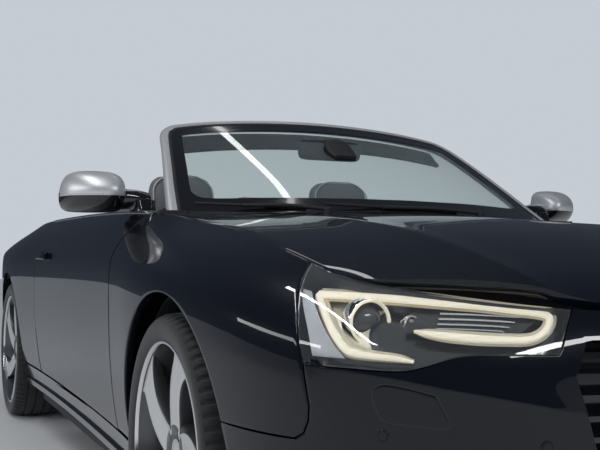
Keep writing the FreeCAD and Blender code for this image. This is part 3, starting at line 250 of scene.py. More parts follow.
class Net:
    """Uniform cubic surface over a net of control points; a point's label is its own parameter."""

    def __init__(self, points, first_u, first_v):
        self.points = np.array(points, float)
        self.first = (first_u, first_v)

    def at(self, u, v):
        u = np.atleast_1d(np.asarray(u, float))
        v = np.atleast_1d(np.asarray(v, float))
        iu, wu = self._weights(u - self.first[0], self.points.shape[0])
        iv, wv = self._weights(v - self.first[1], self.points.shape[1])
        total = np.zeros(u.shape + (3,))
        for i in range(4):
            for j in range(4):
                total += self.points[iu + i - 1, iv + j - 1] * (wu[i] * wv[j])[..., None]
        return total

    @staticmethod
    def _weights(t, count):
        base = np.clip(np.floor(t).astype(int), 1, count - 3)
        s = t - base
        weights = ((1 - s) ** 3 / 6, (3 * s ** 3 - 6 * s ** 2 + 4) / 6,
                   (-3 * s ** 3 + 3 * s ** 2 + 3 * s + 1) / 6, s ** 3 / 6)
        return base, weights

    def lifted(self, u, v, lift):
        """Points over the surface by a height along its outward normal."""
        step = 1e-3
        here = self.at(u, v)
        normal = np.cross(self.at(np.add(u, step), v) - here, self.at(u, np.add(v, step)) - here)
        normal /= np.linalg.norm(normal, axis=-1, keepdims=True)
        return here + normal * np.reshape(np.broadcast_to(lift, here.shape[:-1]), here.shape[:-1] + (1,))

    def place(self, first_axis, first, second_axis, second, guess, lift=0.0):
        """Parameters of the points that have given measures along two axes."""
        axes = [np.array(axis, float) / np.linalg.norm(axis) for axis in (first_axis, second_axis)]
        first, second = (np.atleast_1d(np.asarray(value, float)) for value in (first, second))
        u = np.full(first.shape, float(guess[0]))
        v = np.full(first.shape, float(guess[1]))
        step = 1e-4
        for _ in range(30):
            here = self.lifted(u, v, lift)
            du = (self.lifted(u + step, v, lift) - here) / step
            dv = (self.lifted(u, v + step, lift) - here) / step
            miss = (first - here @ axes[0], second - here @ axes[1])
            a, b, c, d = du @ axes[0], dv @ axes[0], du @ axes[1], dv @ axes[1]
            span = a * d - b * c
            move_u = np.clip((miss[0] * d - b * miss[1]) / span, -0.5, 0.5)
            move_v = np.clip((a * miss[1] - c * miss[0]) / span, -0.5, 0.5)
            u += move_u
            v += move_v
            if max(abs(move_u).max(), abs(move_v).max()) < 1e-7:
                break
        return u, v


LAST = len(RING_STATIONS) - 1
BELT = float(len(RING_ROWS) - 1)


def ring_plan(label):
    turn = label % (2 * LAST)
    side = 1.0
    if turn > LAST:
        turn = 2 * LAST - turn
        side = -1.0
    station = RING_STATIONS[turn]
    return np.array([station[0], side * station[1]], float), station


def ring_net():
    columns = []
    first = -LAST - 3
    for label in range(first, LAST + 4):
        point, station = ring_plan(label)
        along = ring_plan(label + 1)[0] - ring_plan(label - 1)[0]
        normal = np.array([-along[1], along[0]]) / np.linalg.norm(along)
        if normal @ point < 0:
            normal = -normal
        hem, line, belt, low, high = station[2:]
        column = []
        for low_rise, high_rise, low_share, high_share in RING_ROWS:
            spot = point - normal * (low_share * low + high_share * high)
            column.append((spot[0], spot[1], hem + low_rise * (line - hem) + high_rise * (belt - line)))
        column = np.array(column)
        below = 2 * column[0] - column[1]
        above = 2 * column[-1] - column[-2]
        columns.append(np.vstack([below, column, above]))
    return Net(columns, first, -1)


def top_net(sections, columns, height):
    rows = []
    for section in sections:
        half = [(section[0], column[0], height(section, column)) for column in columns]
        rows.append(list(reversed(half)) + [(x, -y, z) for x, y, z in half[1:]])
    return Net(rows, 0, 0)


def bonnet_height(section, column):
    middle, crease, edge = section[1:]
    return middle + column[1] * (crease - middle) + column[2] * (edge - crease)


ring = ring_net()
bonnet_net = top_net(BONNET_SECTIONS, BONNET_COLUMNS, bonnet_height)


def station_at(x, row=3.0):
    low, high = 0.0, float(LAST)
    for _ in range(40):
        middle = (low + high) / 2
        if ring.at(middle, row)[0][0] > x:
            low = middle
        else:
            high = middle
    return (low + high) / 2


def row_at(z, station):
    low, high = 0.0, BELT
    for _ in range(40):
        middle = (low + high) / 2
        if ring.at(station, middle)[0][2] < z:
            low = middle
        else:
            high = middle
    return (low + high) / 2


def run(points, counts):
    """Polyline through the points with a count of equal steps on each span."""
    line = []
    for start, end, count in zip(points[:-1], points[1:], counts):
        for step in range(count):
            share = step / count
            line.append(tuple(a + (b - a) * share for a, b in zip(start, end)))
    line.append(tuple(points[-1]))
    return line


def spline_run(points, count):
    """Smooth line of a count of points through a few of them."""
    points = np.array(points, float)
    ends = np.vstack([2 * points[0] - points[1], points, 2 * points[-1] - points[-2]])
    line = []
    for t in np.linspace(0, len(points) - 1, count):
        i = min(int(t), len(points) - 2)
        s = t - i
        a, b, c, d = ends[i:i + 4]
        line.append(0.5 * (2 * b + (c - a) * s + (2 * a - 5 * b + 4 * c - d) * s ** 2
                           + (3 * b - a - 3 * c + d) * s ** 3))
    return np.array(line)


def side_run(points, counts):
    """Parameters of the left side's surface along a line of (x, z) places."""
    line = np.array(run(points, counts))
    u, v = ring.place((1, 0, 0), line[:, 0], (0, 0, 1), line[:, 1],
                      (station_at(line[0, 0]), row_at(min(line[0, 1], 740), station_at(line[0, 0]))))
    return list(zip(u, v))


CORNER_AXIS = (-1, 1, 0)


def corner_run(points, lift=0.0):
    """Parameters of the left front corner's surface at (across, z) places seen along its diagonal."""
    line = np.array(points, float)
    u, v = ring.place(CORNER_AXIS, line[:, 0], (0, 0, 1), line[:, 1], (4.0, 4.5), lift)
    return list(zip(u, v))


def across_corner(x, y):
    return (y - x) / math.sqrt(2)


def resampled(line, shares):
    line = np.array(line, float)
    own = np.linspace(0, 1, len(line))
    return np.stack([np.interp(shares, own, line[:, k]) for k in range(line.shape[1])], axis=-1)


def coons(bottom, right, top, left, across=None, upward=None):
    """Grid of parameters between four lines: bottom and top run the same way, left and right upward."""
    across = np.linspace(0, 1, len(bottom)) if across is None else np.array(across)
    upward = np.linspace(0, 1, len(left)) if upward is None else np.array(upward)
    bottom, top = resampled(bottom, across), resampled(top, across)
    left, right = resampled(left, upward), resampled(right, upward)
    across, upward = across[None, :, None], upward[:, None, None]
    rows = (1 - upward) * bottom[None] + upward * top[None]
    columns = (1 - across) * left[:, None] + across * right[:, None]
    corners = ((1 - across) * (1 - upward) * bottom[0] + across * (1 - upward) * bottom[-1]
               + (1 - across) * upward * top[0] + across * upward * top[-1])
    return rows + columns - corners


def patch(net, bottom, right, top, left, name="patch", lift=0.0, across=None, upward=None):
    """Piece of a surface between four lines of parameters; lift is a height or a rule for it."""
    grid = coons(bottom, right, top, left, across, upward)
    u, v = grid[..., 0].ravel(), grid[..., 1].ravel()
    height = lift(u, v, grid.shape[:2]) if callable(lift) else lift
    points = net.lifted(u, v, height) * MM
    return spread_grid(name, points.reshape(grid.shape[0], grid.shape[1], 3))


def face_out(item, away):
    """Turns the skin's faces so that they look away from a point inside the car."""
    total = 0.0
    for face in item.data.polygons:
        total += face.area * face.normal.dot(face.center - Vector(away))
    if total < 0:
        item.data.flip_normals()
    return item


def turned(name, profile, place=(0, 0, 0), axis=(0, 0, 1), segments=64, closed=False):
    """Solid of revolution from (radius, along) points in millimetres, extruded ring by ring from a circle."""
    deselect()
    radius, height = profile[0]
    bpy.ops.mesh.primitive_circle_add(vertices=segments, radius=max(radius, 0.01) * MM, location=(0, 0, 0))
    item = bpy.context.object
    item.name = name
    bpy.ops.object.mode_set(mode="EDIT")
    bpy.ops.mesh.select_all(action="SELECT")
    bpy.ops.transform.translate(value=(0, 0, height * MM))
    if not closed:
        bpy.ops.mesh.edge_face_add()
    last = max(radius, 0.01)
    for radius, along in profile[1:]:
        bpy.ops.mesh.extrude_region_move(TRANSFORM_OT_translate={"value": (0, 0, (along - height) * MM)})
        scale = max(radius, 0.01) / last
        bpy.ops.transform.resize(value=(scale, scale, 1), center_override=(0, 0, along * MM))
        last, height = max(radius, 0.01), along
    bpy.ops.object.mode_set(mode="OBJECT")
    merge(item, 0.00002)
    turn = Vector(axis).to_track_quat("Z", "Y").to_matrix().to_4x4()
    item.data.transform(Matrix.Translation(Vector(place) * MM) @ turn)
    outward(item)
    return smooth(item, 35)


def closed_grid(name, rows, angle=None):
    """Tube through rings of points, each ring closed on itself and the two ends filled."""
    item = spread_grid(name, [list(row) + [row[0]] for row in rows])
    merge(item, 0.00001)
    bpy.ops.object.mode_set(mode="EDIT")
    bpy.ops.mesh.select_mode(type="EDGE")
    bpy.ops.mesh.select_all(action="DESELECT")
    bpy.ops.mesh.select_non_manifold(extend=False)
    bpy.ops.mesh.fill_holes(sides=0)
    bpy.ops.mesh.select_mode(type="VERT")
    bpy.ops.object.mode_set(mode="OBJECT")
    outward(item)
    return smooth(item, angle) if angle else item


def closed_loop(name, rows, angle):
    """Ring-shaped surface through closed rings of points, the last ring joined to the first."""
    item = spread_grid(name, [list(row) + [row[0]] for row in rows + rows[:1]])
    merge(item, 0.00001)
    outward(item)
    return smooth(item, angle)


def corner_bead(name, centre, widths, depth, rise, count=70):
    """Rounded strip along a line of (across, z) places behind the lamp's lens."""
    line = spline_run([spot + (width,) for spot, width in zip(centre, widths)], count)
    way = np.gradient(line[:, :2], axis=0)
    way /= np.linalg.norm(way, axis=1)[:, None]
    side = np.stack([-way[:, 1], way[:, 0]], axis=1)
    shares = np.linspace(-1, 1, 9)
    spots = line[:, None, :2] + side[:, None, :] * shares[None, :, None] * line[:, None, 2:] / 2
    flat = spots.reshape(-1, 2)
    u, v = ring.place(CORNER_AXIS, flat[:, 0], (0, 0, 1), flat[:, 1], (4.0, 4.5), -depth)
    height = np.tile(rise * np.sqrt(np.clip(1 - shares ** 2, 0, 1)), count) - depth
    points = ring.lifted(u, v, height) * MM
    item = spread_grid(name, points.reshape(count, len(shares), 3))
    face_out(item, NOSE_INSIDE)
    return thicken(item, 2.0, 0)


def corner_panel(name, lines, depth, counts):
    """Curved panel between four lines of (across, z) places on the front corner."""
    runs = [corner_run(spline_run(line, count) if len(line) > 2 else run(line, [count - 1]), -depth)
            for line, count in zip(lines, counts * 2)]
    item = patch(ring, *runs, name, -depth)
    face_out(item, NOSE_INSIDE)
    return thicken(item, 2.0, 0.6)


# Materials

# Finishes by key: material name, colour or the name of its property, roughness, metallic,
# noise scale, lowest and highest roughness of the noise, bump strength, bump distance
FINISHES = {
    "paint": ("gloss_paint", "paint", 0.35, 0.0, 0, 0, 0, 0, 0),
    "gloss_black": ("gloss_black", (0.006, 0.006, 0.007), 0.12, 0.0, 90, 0.08, 0.16, 0, 0),
    "trim": ("grained_black", (0.018, 0.018, 0.019), 0.6, 0.0, 900, 0.5, 0.72, 0.25, 0.0003),
    "silver": ("satin_silver", "silver", 0.42, 0.75, 800, 0.39, 0.45, 0, 0),
    "wheel": ("wheel_silver", "wheel", 0.36, 0.65, 900, 0.33, 0.39, 0, 0),
    "rubber": ("tyre_rubber", (0.013, 0.013, 0.014), 0.75, 0.0, 60, 0.62, 0.85, 0.15, 0.0006),
    "steel": ("turned_steel", (0.45, 0.45, 0.46), 0.3, 1.0, 220, 0.2, 0.42, 0.1, 0.0002),
    "iron": ("cast_grey", (0.09, 0.09, 0.095), 0.65, 0.5, 300, 0.55, 0.8, 0.3, 0.0005),
    "chrome": ("bright_metal", (0.78, 0.79, 0.8), 0.08, 1.0, 80, 0.05, 0.12, 0, 0),
    "leather": ("grey_leather", "leather", 0.45, 0.0, 0, 0, 0, 0.35, 0.0006),
    "leather_dark": ("dark_leather", (0.02, 0.02, 0.021), 0.45, 0.0, 520, 0.38, 0.55, 0.35, 0.0005),
    "piping": ("light_piping", (0.42, 0.42, 0.43), 0.5, 0.0, 600, 0.42, 0.6, 0.2, 0.0004),
    "dash": ("soft_dash", (0.025, 0.025, 0.027), 0.55, 0.0, 700, 0.45, 0.7, 0.3, 0.0004),
    "glass": ("tinted_glass", "glass", 0.0, 0.0, 10, 0.0, 0.01, 0, 0),
    "lens": ("clear_lens", (0.97, 0.98, 0.98), 0.0, 0.0, 10, 0.0, 0.01, 0, 0),
    "lamp_dark": ("lamp_dark", (0.012, 0.012, 0.014), 0.25, 0.0, 600, 0.2, 0.26, 0, 0),
    "light_guide": ("light_guide", (0.92, 0.85, 0.68), 0.25, 0.0, 700, 0.2, 0.36, 0.12, 0.0004),
    "lamp_grey": ("lamp_grey", (0.55, 0.55, 0.57), 0.35, 0.2, 260, 0.3, 0.45, 0, 0),
    "lamp_cream": ("lamp_cream", (0.78, 0.7, 0.52), 0.25, 0.3, 180, 0.15, 0.3, 0, 0),
    "lamp_rose": ("bulb_rose", (0.42, 0.27, 0.24), 0.2, 0.0, 240, 0.15, 0.28, 0, 0),
    "projector": ("projector_glass", (0.02, 0.024, 0.03), 0.03, 0.0, 40, 0.02, 0.05, 0, 0),
    "mirror": ("mirror_glass", (0.7, 0.73, 0.76), 0.02, 1.0, 30, 0.01, 0.03, 0, 0),
    "wheel_lip": ("wheel_lip", (0.8, 0.8, 0.81), 0.15, 1.0, 300, 0.1, 0.2, 0, 0),
    "wheel_side": ("wheel_side", (0.13, 0.13, 0.135), 0.35, 0.7, 200, 0.3, 0.42, 0, 0),
    "red": ("red_lens", (0.25, 0.004, 0.006), 0.1, 0.0, 60, 0.06, 0.14, 0, 0),
}
# Clear coats: weight, roughness
COATS = {
    "paint": (0.9, 0.015), "gloss_black": (0.6, 0.04), "wheel": (0.5, 0.08), "glass": (1.0, 0.01),
    "lens": (1.0, 0.01), "lamp_dark": (0.5, 0.05), "light_guide": (0.8, 0.05), "lamp_cream": (0.5, 0.05),
    "lamp_rose": (1.0, 0.03), "projector": (1.0, 0.01), "wheel_side": (0.4, 0.1), "red": (1.0, 0.02),
}
# What else a finish sets on its shader
SOCKETS = {
    "paint": {"Coat IOR": 1.46, "Specular IOR Level": 0.05},
    "rubber": {"Sheen Weight": 0.15},
    "leather": {"Sheen Weight": 0.1},
    "glass": {"IOR": 1.15, "Transmission Weight": 1.0},
    "lens": {"IOR": 1.08, "Transmission Weight": 1.0},
    # The light guides' faint emission is a painted glow that makes them look bright under any light
    "light_guide": {"Emission Color": (1.0, 0.88, 0.66, 1.0), "Emission Strength": 0.35},
}
FLAKE_SCALE = 2600.0
FLAKE_START = 0.72
GRAIN_SCALE = 420.0


def shader(name, colour, roughness, metallic=0.0, **sockets):
    """Principled material; the other values go straight to the shader's sockets."""
    material = bpy.data.materials.new(name)
    material.use_nodes = True
    bsdf = material.node_tree.nodes["Principled BSDF"]
    bsdf.inputs["Base Color"].default_value = (*colour[:3], 1.0)
    bsdf.inputs["Roughness"].default_value = roughness
    bsdf.inputs["Metallic"].default_value = metallic
    for socket, value in sockets.items():
        bsdf.inputs[socket].default_value = value
    return material, material.node_tree, bsdf


def add_node(tree, kind, **values):
    node = tree.nodes.new(kind)
    for socket, value in values.items():
        node.inputs[socket.replace("_", " ")].default_value = value
    return node


def texture(tree, kind, **values):
    """Texture on Object coordinates."""
    node = add_node(tree, kind, **values)
    place = add_node(tree, "ShaderNodeTexCoord")
    tree.links.new(place.outputs["Object"], node.inputs["Vector"])
    return node


def add_relief(tree, bsdf, height, strength, distance):
    relief = add_node(tree, "ShaderNodeBump", Strength=strength, Distance=distance)
    tree.links.new(height, relief.inputs["Height"])
    tree.links.new(relief.outputs["Normal"], bsdf.inputs["Normal"])


def add_speckle(tree, bsdf, scale, low, high, bump, distance):
    """Noise that varies the roughness and, with a bump, the relief."""
    noise = texture(tree, "ShaderNodeTexNoise", Scale=scale, Detail=2.0)
    spread = add_node(tree, "ShaderNodeMapRange", To_Min=low, To_Max=high)
    tree.links.new(noise.outputs["Fac"], spread.inputs["Value"])
    tree.links.new(spread.outputs["Result"], bsdf.inputs["Roughness"])
    if bump:
        add_relief(tree, bsdf, noise.outputs["Fac"], bump, distance)


def add_flakes(tree, bsdf, colour):
    """Fine bright flakes in the paint."""
    flakes = texture(tree, "ShaderNodeTexVoronoi", Scale=FLAKE_SCALE)
    ramp = add_node(tree, "ShaderNodeValToRGB")
    ramp.color_ramp.elements[0].color = (*colour[:3], 1)
    ramp.color_ramp.elements[1].color = (*(min(1.0, value * 2.0 + 0.002) for value in colour[:3]), 1)
    ramp.color_ramp.elements[0].position = FLAKE_START
    tree.links.new(flakes.outputs["Distance"], ramp.inputs["Fac"])
    tree.links.new(ramp.outputs["Color"], bsdf.inputs["Base Color"])


def make_materials(colours):
    """Every finish of the car by its key."""
    made = {}
    for key, (name, colour, roughness, metallic, scale, low, high, bump, distance) in FINISHES.items():
        colour = getattr(colours, colour) if isinstance(colour, str) else colour
        sockets = dict(SOCKETS.get(key, {}))
        if key in COATS:
            sockets["Coat Weight"], sockets["Coat Roughness"] = COATS[key]
        made[key], tree, bsdf = shader(name, colour, roughness, metallic, **sockets)
        if key == "paint":
            add_flakes(tree, bsdf, colour)
        elif key == "leather":
            grain = texture(tree, "ShaderNodeTexVoronoi", Scale=GRAIN_SCALE)
            add_relief(tree, bsdf, grain.outputs["Distance"], bump, distance)
        else:
            add_speckle(tree, bsdf, scale, low, high, bump, distance)
    return made


materials = {}

# The construction pieces that each finish covers; a wheel's pieces go by the first word of their names
CAD_FINISHES = {
    "paint": ("bonnet", "boot_lid", "door_left", "door_right", "front_bumper", "front_wing_left",
              "front_wing_right", "rear_bumper", "rear_quarter_left", "rear_quarter_right", "soft_top_lid"),
    "trim": ("body_tub", "rear_floor", "interior_mirror", "scuttle", "wheel_liners", "wipers"),
    "gloss_black": ("grille", "headlamp_housings", "side_sills"),
    "silver": ("mirror_left", "mirror_right", "windscreen_frame"),
    "dash": ("centre_console", "dashboard", "steering_wheel"),
    "leather": ("rear_seat", "seat_front_left", "seat_front_right"),
    "iron": ("engine_block", "front_rails", "front_axle", "rear_axle", "knuckle_left", "knuckle_right"),
    "chrome": ("exhaust_tips",), "lens": ("headlamp_lenses",), "red": ("tail_lamps",),
    "glass": ("windscreen",), "steel": ("disc",), "wheel": ("rim",), "rubber": ("tyre",),
}


class CarColours(bpy.types.PropertyGroup):
    """Colours of the car's finishes"""
    paint: bpy.props.FloatVectorProperty(
        name="Paint", description="Colour of the body panels", subtype="COLOR", size=3,
        default=(0.003, 0.004, 0.008))
    silver: bpy.props.FloatVectorProperty(
        name="Silver trim", description="Colour of the screen frame and mirror caps", subtype="COLOR", size=3,
        default=(0.74, 0.75, 0.76))
    wheel: bpy.props.FloatVectorProperty(
        name="Wheels", description="Colour of the rims", subtype="COLOR", size=3, default=(0.66, 0.66, 0.66))
    leather: bpy.props.FloatVectorProperty(
        name="Leather", description="Colour of the seats", subtype="COLOR", size=3,
        default=(0.13, 0.13, 0.135))
    glass: bpy.props.FloatVectorProperty(
        name="Glass", description="Tint of the windscreen", subtype="COLOR", size=3,
        default=(0.72, 0.8, 0.77))


class CarSizes(bpy.types.PropertyGroup):
    """Sizes of the car's visible details, in millimetres"""
    crease: bpy.props.FloatProperty(
        name="Crease", description="Height of the folded lines over the panels",
        default=5.0, min=0.0, max=12.0)
    handle: bpy.props.FloatProperty(
        name="Door handle", description="How far the door handles stand out",
        default=24.0, min=16.0, max=32.0)
    tread: bpy.props.FloatProperty(
        name="Tread", description="Depth of the tyres' cross grooves", default=4.5, min=0.0, max=7.0)
    piping: bpy.props.FloatProperty(
        name="Piping", description="Radius of the seats' piping", default=3.0, min=1.0, max=6.0)
    filling: bpy.props.FloatProperty(
        name="Filling", description="How far the seat pads may swell", default=9.0, min=0.0, max=15.0)


class CAR_OT_finishes(bpy.types.Operator):
    """Make the finishes and give every construction piece its own"""
    bl_idname = "car.finishes"
    bl_label = "Finishes"

    def execute(self, context):
        materials.update(make_materials(context.scene.car_colours))
        finish_of = {node: finish for finish, nodes in CAD_FINISHES.items() for node in nodes}
        for name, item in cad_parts.items():
            key = name if name in finish_of else name.split("_")[0]
            item.data.materials.clear()
            item.data.materials.append(materials[finish_of[key]])
        return {"FINISHED"}


# Body panels

SKIN_WALL = 22
DOOR_WALL = 46
BUMPER_WALL = 14
NOSE_CORNER = 3.3
CREASE_REACH = 85


def belt_line(stations, inset):
    """Points of the left belt line moved towards the middle."""
    points = []
    for u in stations:
        here = ring.at(u, BELT)[0]
        way = ring.at(u + 0.05, BELT)[0] - here
        inward = np.array([-way[1], way[0]])
        inward = inward / np.linalg.norm(inward)
        gap = inset + NOSE_GAP * max(0.0, -inward[0])
        points.append((here[0] + inward[0] * gap, here[1] + inward[1] * gap))
    return points


def net_xy(net, x, y):
    """Parameters of a top surface at a place in plan; its u follows x and its v follows y."""
    u, v = net.place((1, 0, 0), x, (0, 1, 0), y, (net.points.shape[0] / 2.0, net.points.shape[1] / 2.0))
    return list(zip(u, v))


class CAR_OT_bonnet(bpy.types.Operator):
    """Model the bonnet with its two creases"""
    bl_idname = "car.bonnet"
    bl_label = "Bonnet"

    def execute(self, context):
        sizes = context.scene.car_sizes
        side_end = station_at(BONNET_SIDE, BELT)
        side = belt_line(np.linspace(NOSE_CORNER, side_end, 101), PANEL_GAP)
        nose = np.array(belt_line(np.linspace(0.0, NOSE_CORNER, 81), PANEL_GAP))
        rear_half = side[-1][1]
        halves = []
        for crease, edge in ((400, nose[-1][1]), (460, rear_half)):
            halves.append(np.concatenate([np.linspace(0, crease, 25), np.linspace(crease, edge, 17)[1:]]))
        front = [(np.interp(y, nose[:, 1], nose[:, 0]), y) for y in halves[0]]
        rear = [(BONNET_REAR - (BONNET_REAR - side[-1][0]) * (y / rear_half) ** 2, y) for y in halves[1]]
        lines = []
        for line in (front, rear):
            lines.append(list(reversed(line)) + [(x, -y) for x, y in line[1:]])
        bounds = [net_xy(bonnet_net, *zip(*line)) for line in
                  (lines[0], [(x, -y) for x, y in side], lines[1], side)]

        def crease_lift(u, v, shape):
            spots = bonnet_net.at(u, v).reshape(shape + (3,))
            total = np.zeros(shape)
            for column in (16, shape[1] - 17):
                off = np.abs(spots[..., 1] - spots[:, column:column + 1, 1])
                total += np.clip(1 - off / CREASE_REACH, 0, 1) ** 2
            fade = np.interp(spots[..., 0], (1050, 1500, 2150, 2260), (0.15, 0.8, 1.0, 0.3))
            return (total * fade * sizes.crease).ravel()

        bonnet = patch(bonnet_net, *bounds, "bonnet_skin", crease_lift)
        face_out(bonnet, (1.5, 0, 0))
        thicken(bonnet, SKIN_WALL, 2.0)
        finish_piece(bonnet, "bonnet", "paint", ["bonnet"])
        return {"FINISHED"}


def side_panel(name, stations, rows, counts, lift, wall, edge):
    """Panel over the body's side between two stations and two rows."""
    (u1, u2), (v1, v2) = stations, rows
    item = patch(ring, run([(u1, v1), (u2, v1)], [counts[0]]), run([(u2, v1), (u2, v2)], [counts[1]]),
                 run([(u1, v2), (u2, v2)], [counts[0]]), run([(u1, v1), (u1, v2)], [counts[1]]), name, lift)
    face_out(item, CABIN_INSIDE)
    return thicken(item, wall, edge)


class CAR_OT_doors(bpy.types.Operator):
    """Model the two doors with their inner cards, handles and bright belt strips"""
    bl_idname = "car.doors"
    bl_label = "Doors"

    def execute(self, context):
        stand_out = context.scene.car_sizes.handle
        u1, u2 = station_at(DOOR_FRONT), station_at(DOOR_REAR)
        v1 = row_at(DOOR_BOTTOM, (u1 + u2) / 2)
        inset = (u2 - u1) * 0.02
        h1, h2 = station_at(HANDLE_X[0]), station_at(HANDLE_X[1])
        low, high = [row_at(z, h1) for z in HANDLE_Z]

        def handle_lift(u, v, shape):
            return stand_out - 9 * (2 * (u - h1) / (h2 - h1) - 1) ** 4

        door = side_panel("door_left_skin", (u1, u2), (v1, BELT), (80, 48), 0.0, DOOR_WALL, 2.5)
        card = side_panel("door_left_card", (u1 + inset, u2 - inset), (v1 + 0.3, BELT), (40, 24),
                          -47, 14, 3.0)
        rest = side_panel("door_left_armrest", (u1 + 0.5, u2 - 0.55), (3.0, 3.75), (30, 6), -60, 42, 14.0)
        strip = side_panel("belt_strip_left", (u1 + 0.02, u2 - 0.01), (BELT - 0.13, BELT - 0.01), (80, 4),
                           3.0, 3.2, 1.0)
        handle = side_panel("door_handle_left", (h1, h2), (low, high), (16, 4), handle_lift, 10, 3.5)
        feet = [side_panel("foot", (start, start + 0.07), (low + 0.03, high - 0.03), (3, 3), 14, 15, 1.5)
                for start in (h1 + 0.01, h2 - 0.08)]
        foot = join(feet, "handle_feet_left")
        for piece, material, slot in (
                (door, "paint", "body_paint"), (card, "dash", "dash_plastic"), (rest, "leather", "leather"),
                (strip, "chrome", "chrome"), (handle, "paint", "body_paint"),
                (foot, "gloss_black", "gloss_trim")):
            finish_pair(piece, "door_", material, "door_" if piece is door else None)
        return {"FINISHED"}


def arch_run(axle_x, start, end, count):
    """Parameters along a wheel arch in side view between two angles in degrees."""
    angles = np.radians(np.linspace(start, end, count + 1))
    x = axle_x + ARCH_RADIUS * np.cos(angles)
    z = AXLE_Z + ARCH_RISE + ARCH_RADIUS * np.sin(angles)
    u, v = ring.place((1, 0, 0), x, (0, 0, 1), z, (station_at(axle_x), 3.0))
    return list(zip(u, v))


def arch_angle(z):
    """Angle in degrees at which the front part of a wheel arch has this height."""
    return math.degrees(math.asin((z - AXLE_Z - ARCH_RISE) / ARCH_RADIUS))


# The headlamp's outline as (across, z) places on the front corner
LAMP_SIDE = ((-861, 606), (-843.6, 675), (-826, 745))
LAMP_BOTTOM = ((-861, 606), (-950, 604), (-1043, 602), (-1090, 611), (-1150, 630), (-1222, 633), (-1310, 632))
LAMP_END = ((-1310, 632), (-1324, 700))


def belt_at(across):
    """Parameters on the belt where the front corner has this measure along its diagonal."""
    labels = np.linspace(1.0, 7.0, 600)
    spots = ring.at(labels, np.full(600, BELT))
    return float(np.interp(across, across_corner(spots[:, 0], spots[:, 1]), labels)), BELT


class CAR_OT_wings(bpy.types.Operator):
    """Model the two front wings round their wheel arches"""
    bl_idname = "car.wings"
    bl_label = "Front wings"

    def execute(self, context):
        seam = SEAM_Z + SEAM_GAP
        start = arch_angle(seam)
        end = 180 - arch_angle(DOOR_BOTTOM)
        arch_front_x = AXLE_X[0] + ARCH_RADIUS * math.cos(math.radians(start))
        seam_line = side_run([(arch_front_x, seam), (2014, seam)], [18])
        edge = side_run([(2014, seam), (2033, seam + 12), (2042, SEAM_Z + 38), (2044, 530), (2031, 612)],
                        [4, 4, 5, 9])
        lamp = corner_run([(across + 3, z) for across, z in spline_run(LAMP_SIDE, 11)])
        rear_u = station_at(DOOR_FRONT + PANEL_GAP)
        foot = (rear_u, row_at(DOOR_BOTTOM, rear_u))
        outer = edge[:-1] + lamp[:-1] + run([lamp[-1], belt_at(-818), (rear_u, BELT), foot], [3, 47, 28])
        arch = arch_run(AXLE_X[0], start, end, len(outer) - 1)
        wing = patch(ring, arch, run([arch[-1], foot], [24]), outer, seam_line, "wing_left_skin",
                     upward=np.linspace(0, 1, 34))
        face_out(wing, (1.5, 0, 0.4))
        thicken(wing, SKIN_WALL, 2.0)
        finish_pair(wing, "car_body", "paint", "front_wing_")
        return {"FINISHED"}


CREASE_ACROSS = (866, 959, 1043, 1125, 1191, 1266, 1334, 1640)
CREASE_Z = (604, 598, 588, 572, 560, 544, 528, 470)
CREASE_FADE = 32


def bumper_lift(u, v, shape=None):
    """Height of the folded line that runs from the wing seam under the lamp to the grille."""
    spots = ring.at(u, v)
    across = (spots[:, 0] - np.abs(spots[:, 1])) / math.sqrt(2)
    off = np.sqrt((spots[:, 2] - np.interp(across, CREASE_ACROSS, CREASE_Z)) ** 2 + 9) - 3
    fade = np.interp(across, (860, 930, 1043, 1300, 1345), (0.0, 0.35, 1.0, 1.0, 0.4))
    return bpy.context.scene.car_sizes.crease * fade * np.exp(-off / CREASE_FADE)


def bumper_panel(name, lines, lift, wall, edge, counts):
    """Panel between four lines of (across, z) places on the corner, lifted over the bumper's own folds."""
    runs = [corner_run(spline_run(line, count)) for line, count in zip(lines, counts)]
    item = patch(ring, *runs, name, lambda u, v, shape: bumper_lift(u, v) + lift)
    face_out(item, NOSE_INSIDE)
    return thicken(item, wall, edge)


def front_run(points, counts):
    """Parameters of the nose along a line of (y, z) places seen from in front."""
    line = np.array(run(points, counts))
    u, v = ring.place((0, 1, 0), line[:, 0], (0, 0, 1), line[:, 1], (1.0, 5.0))
    return list(zip(u, v))


# Lower, outer, upper and inner outlines of the bumper's small panels as (across, z) places
WASHER_COVER = (
    ((-1011, 524), (-1025, 513), (-1090, 506), (-1122, 504)),
    ((-1122, 504), (-1131, 510), (-1121, 533), (-1107, 560)),
    ((-1002, 570), (-1022, 577), (-1064, 571), (-1107, 560)),
    ((-1011, 524), (-1001, 545), (-999, 562), (-1002, 570)))
WASHER_GAP = (
    ((-1009, 520), (-1024, 510), (-1090, 503), (-1124, 501)),
    ((-1124, 501), (-1134, 509), (-1124, 534), (-1110, 562)),
    ((-999, 572), (-1021, 580), (-1064, 574), (-1110, 562)),
    ((-1009, 520), (-998, 545), (-996, 563), (-999, 572)))
SIDE_INTAKE = (
    ((-1010, 262), (-1100, 262), (-1200, 262), (-1262, 262)),
    ((-1262, 262), (-1275, 300), (-1290, 350), (-1300, 395)),
    ((-985, 375), (-1080, 392), (-1200, 400), (-1300, 395)),
    ((-1010, 262), (-995, 300), (-985, 340), (-985, 375)))
SENSOR_PLACES = ((-1017, 487), (-1290, 470))
SENSOR_PROFILE = ((11.5, -3), (11.5, 1.0), (10.8, 1.6), (9.6, 1.6), (9.2, 0.9), (8.6, 0.9), (8.2, 1.9),
                  (0, 2.3))


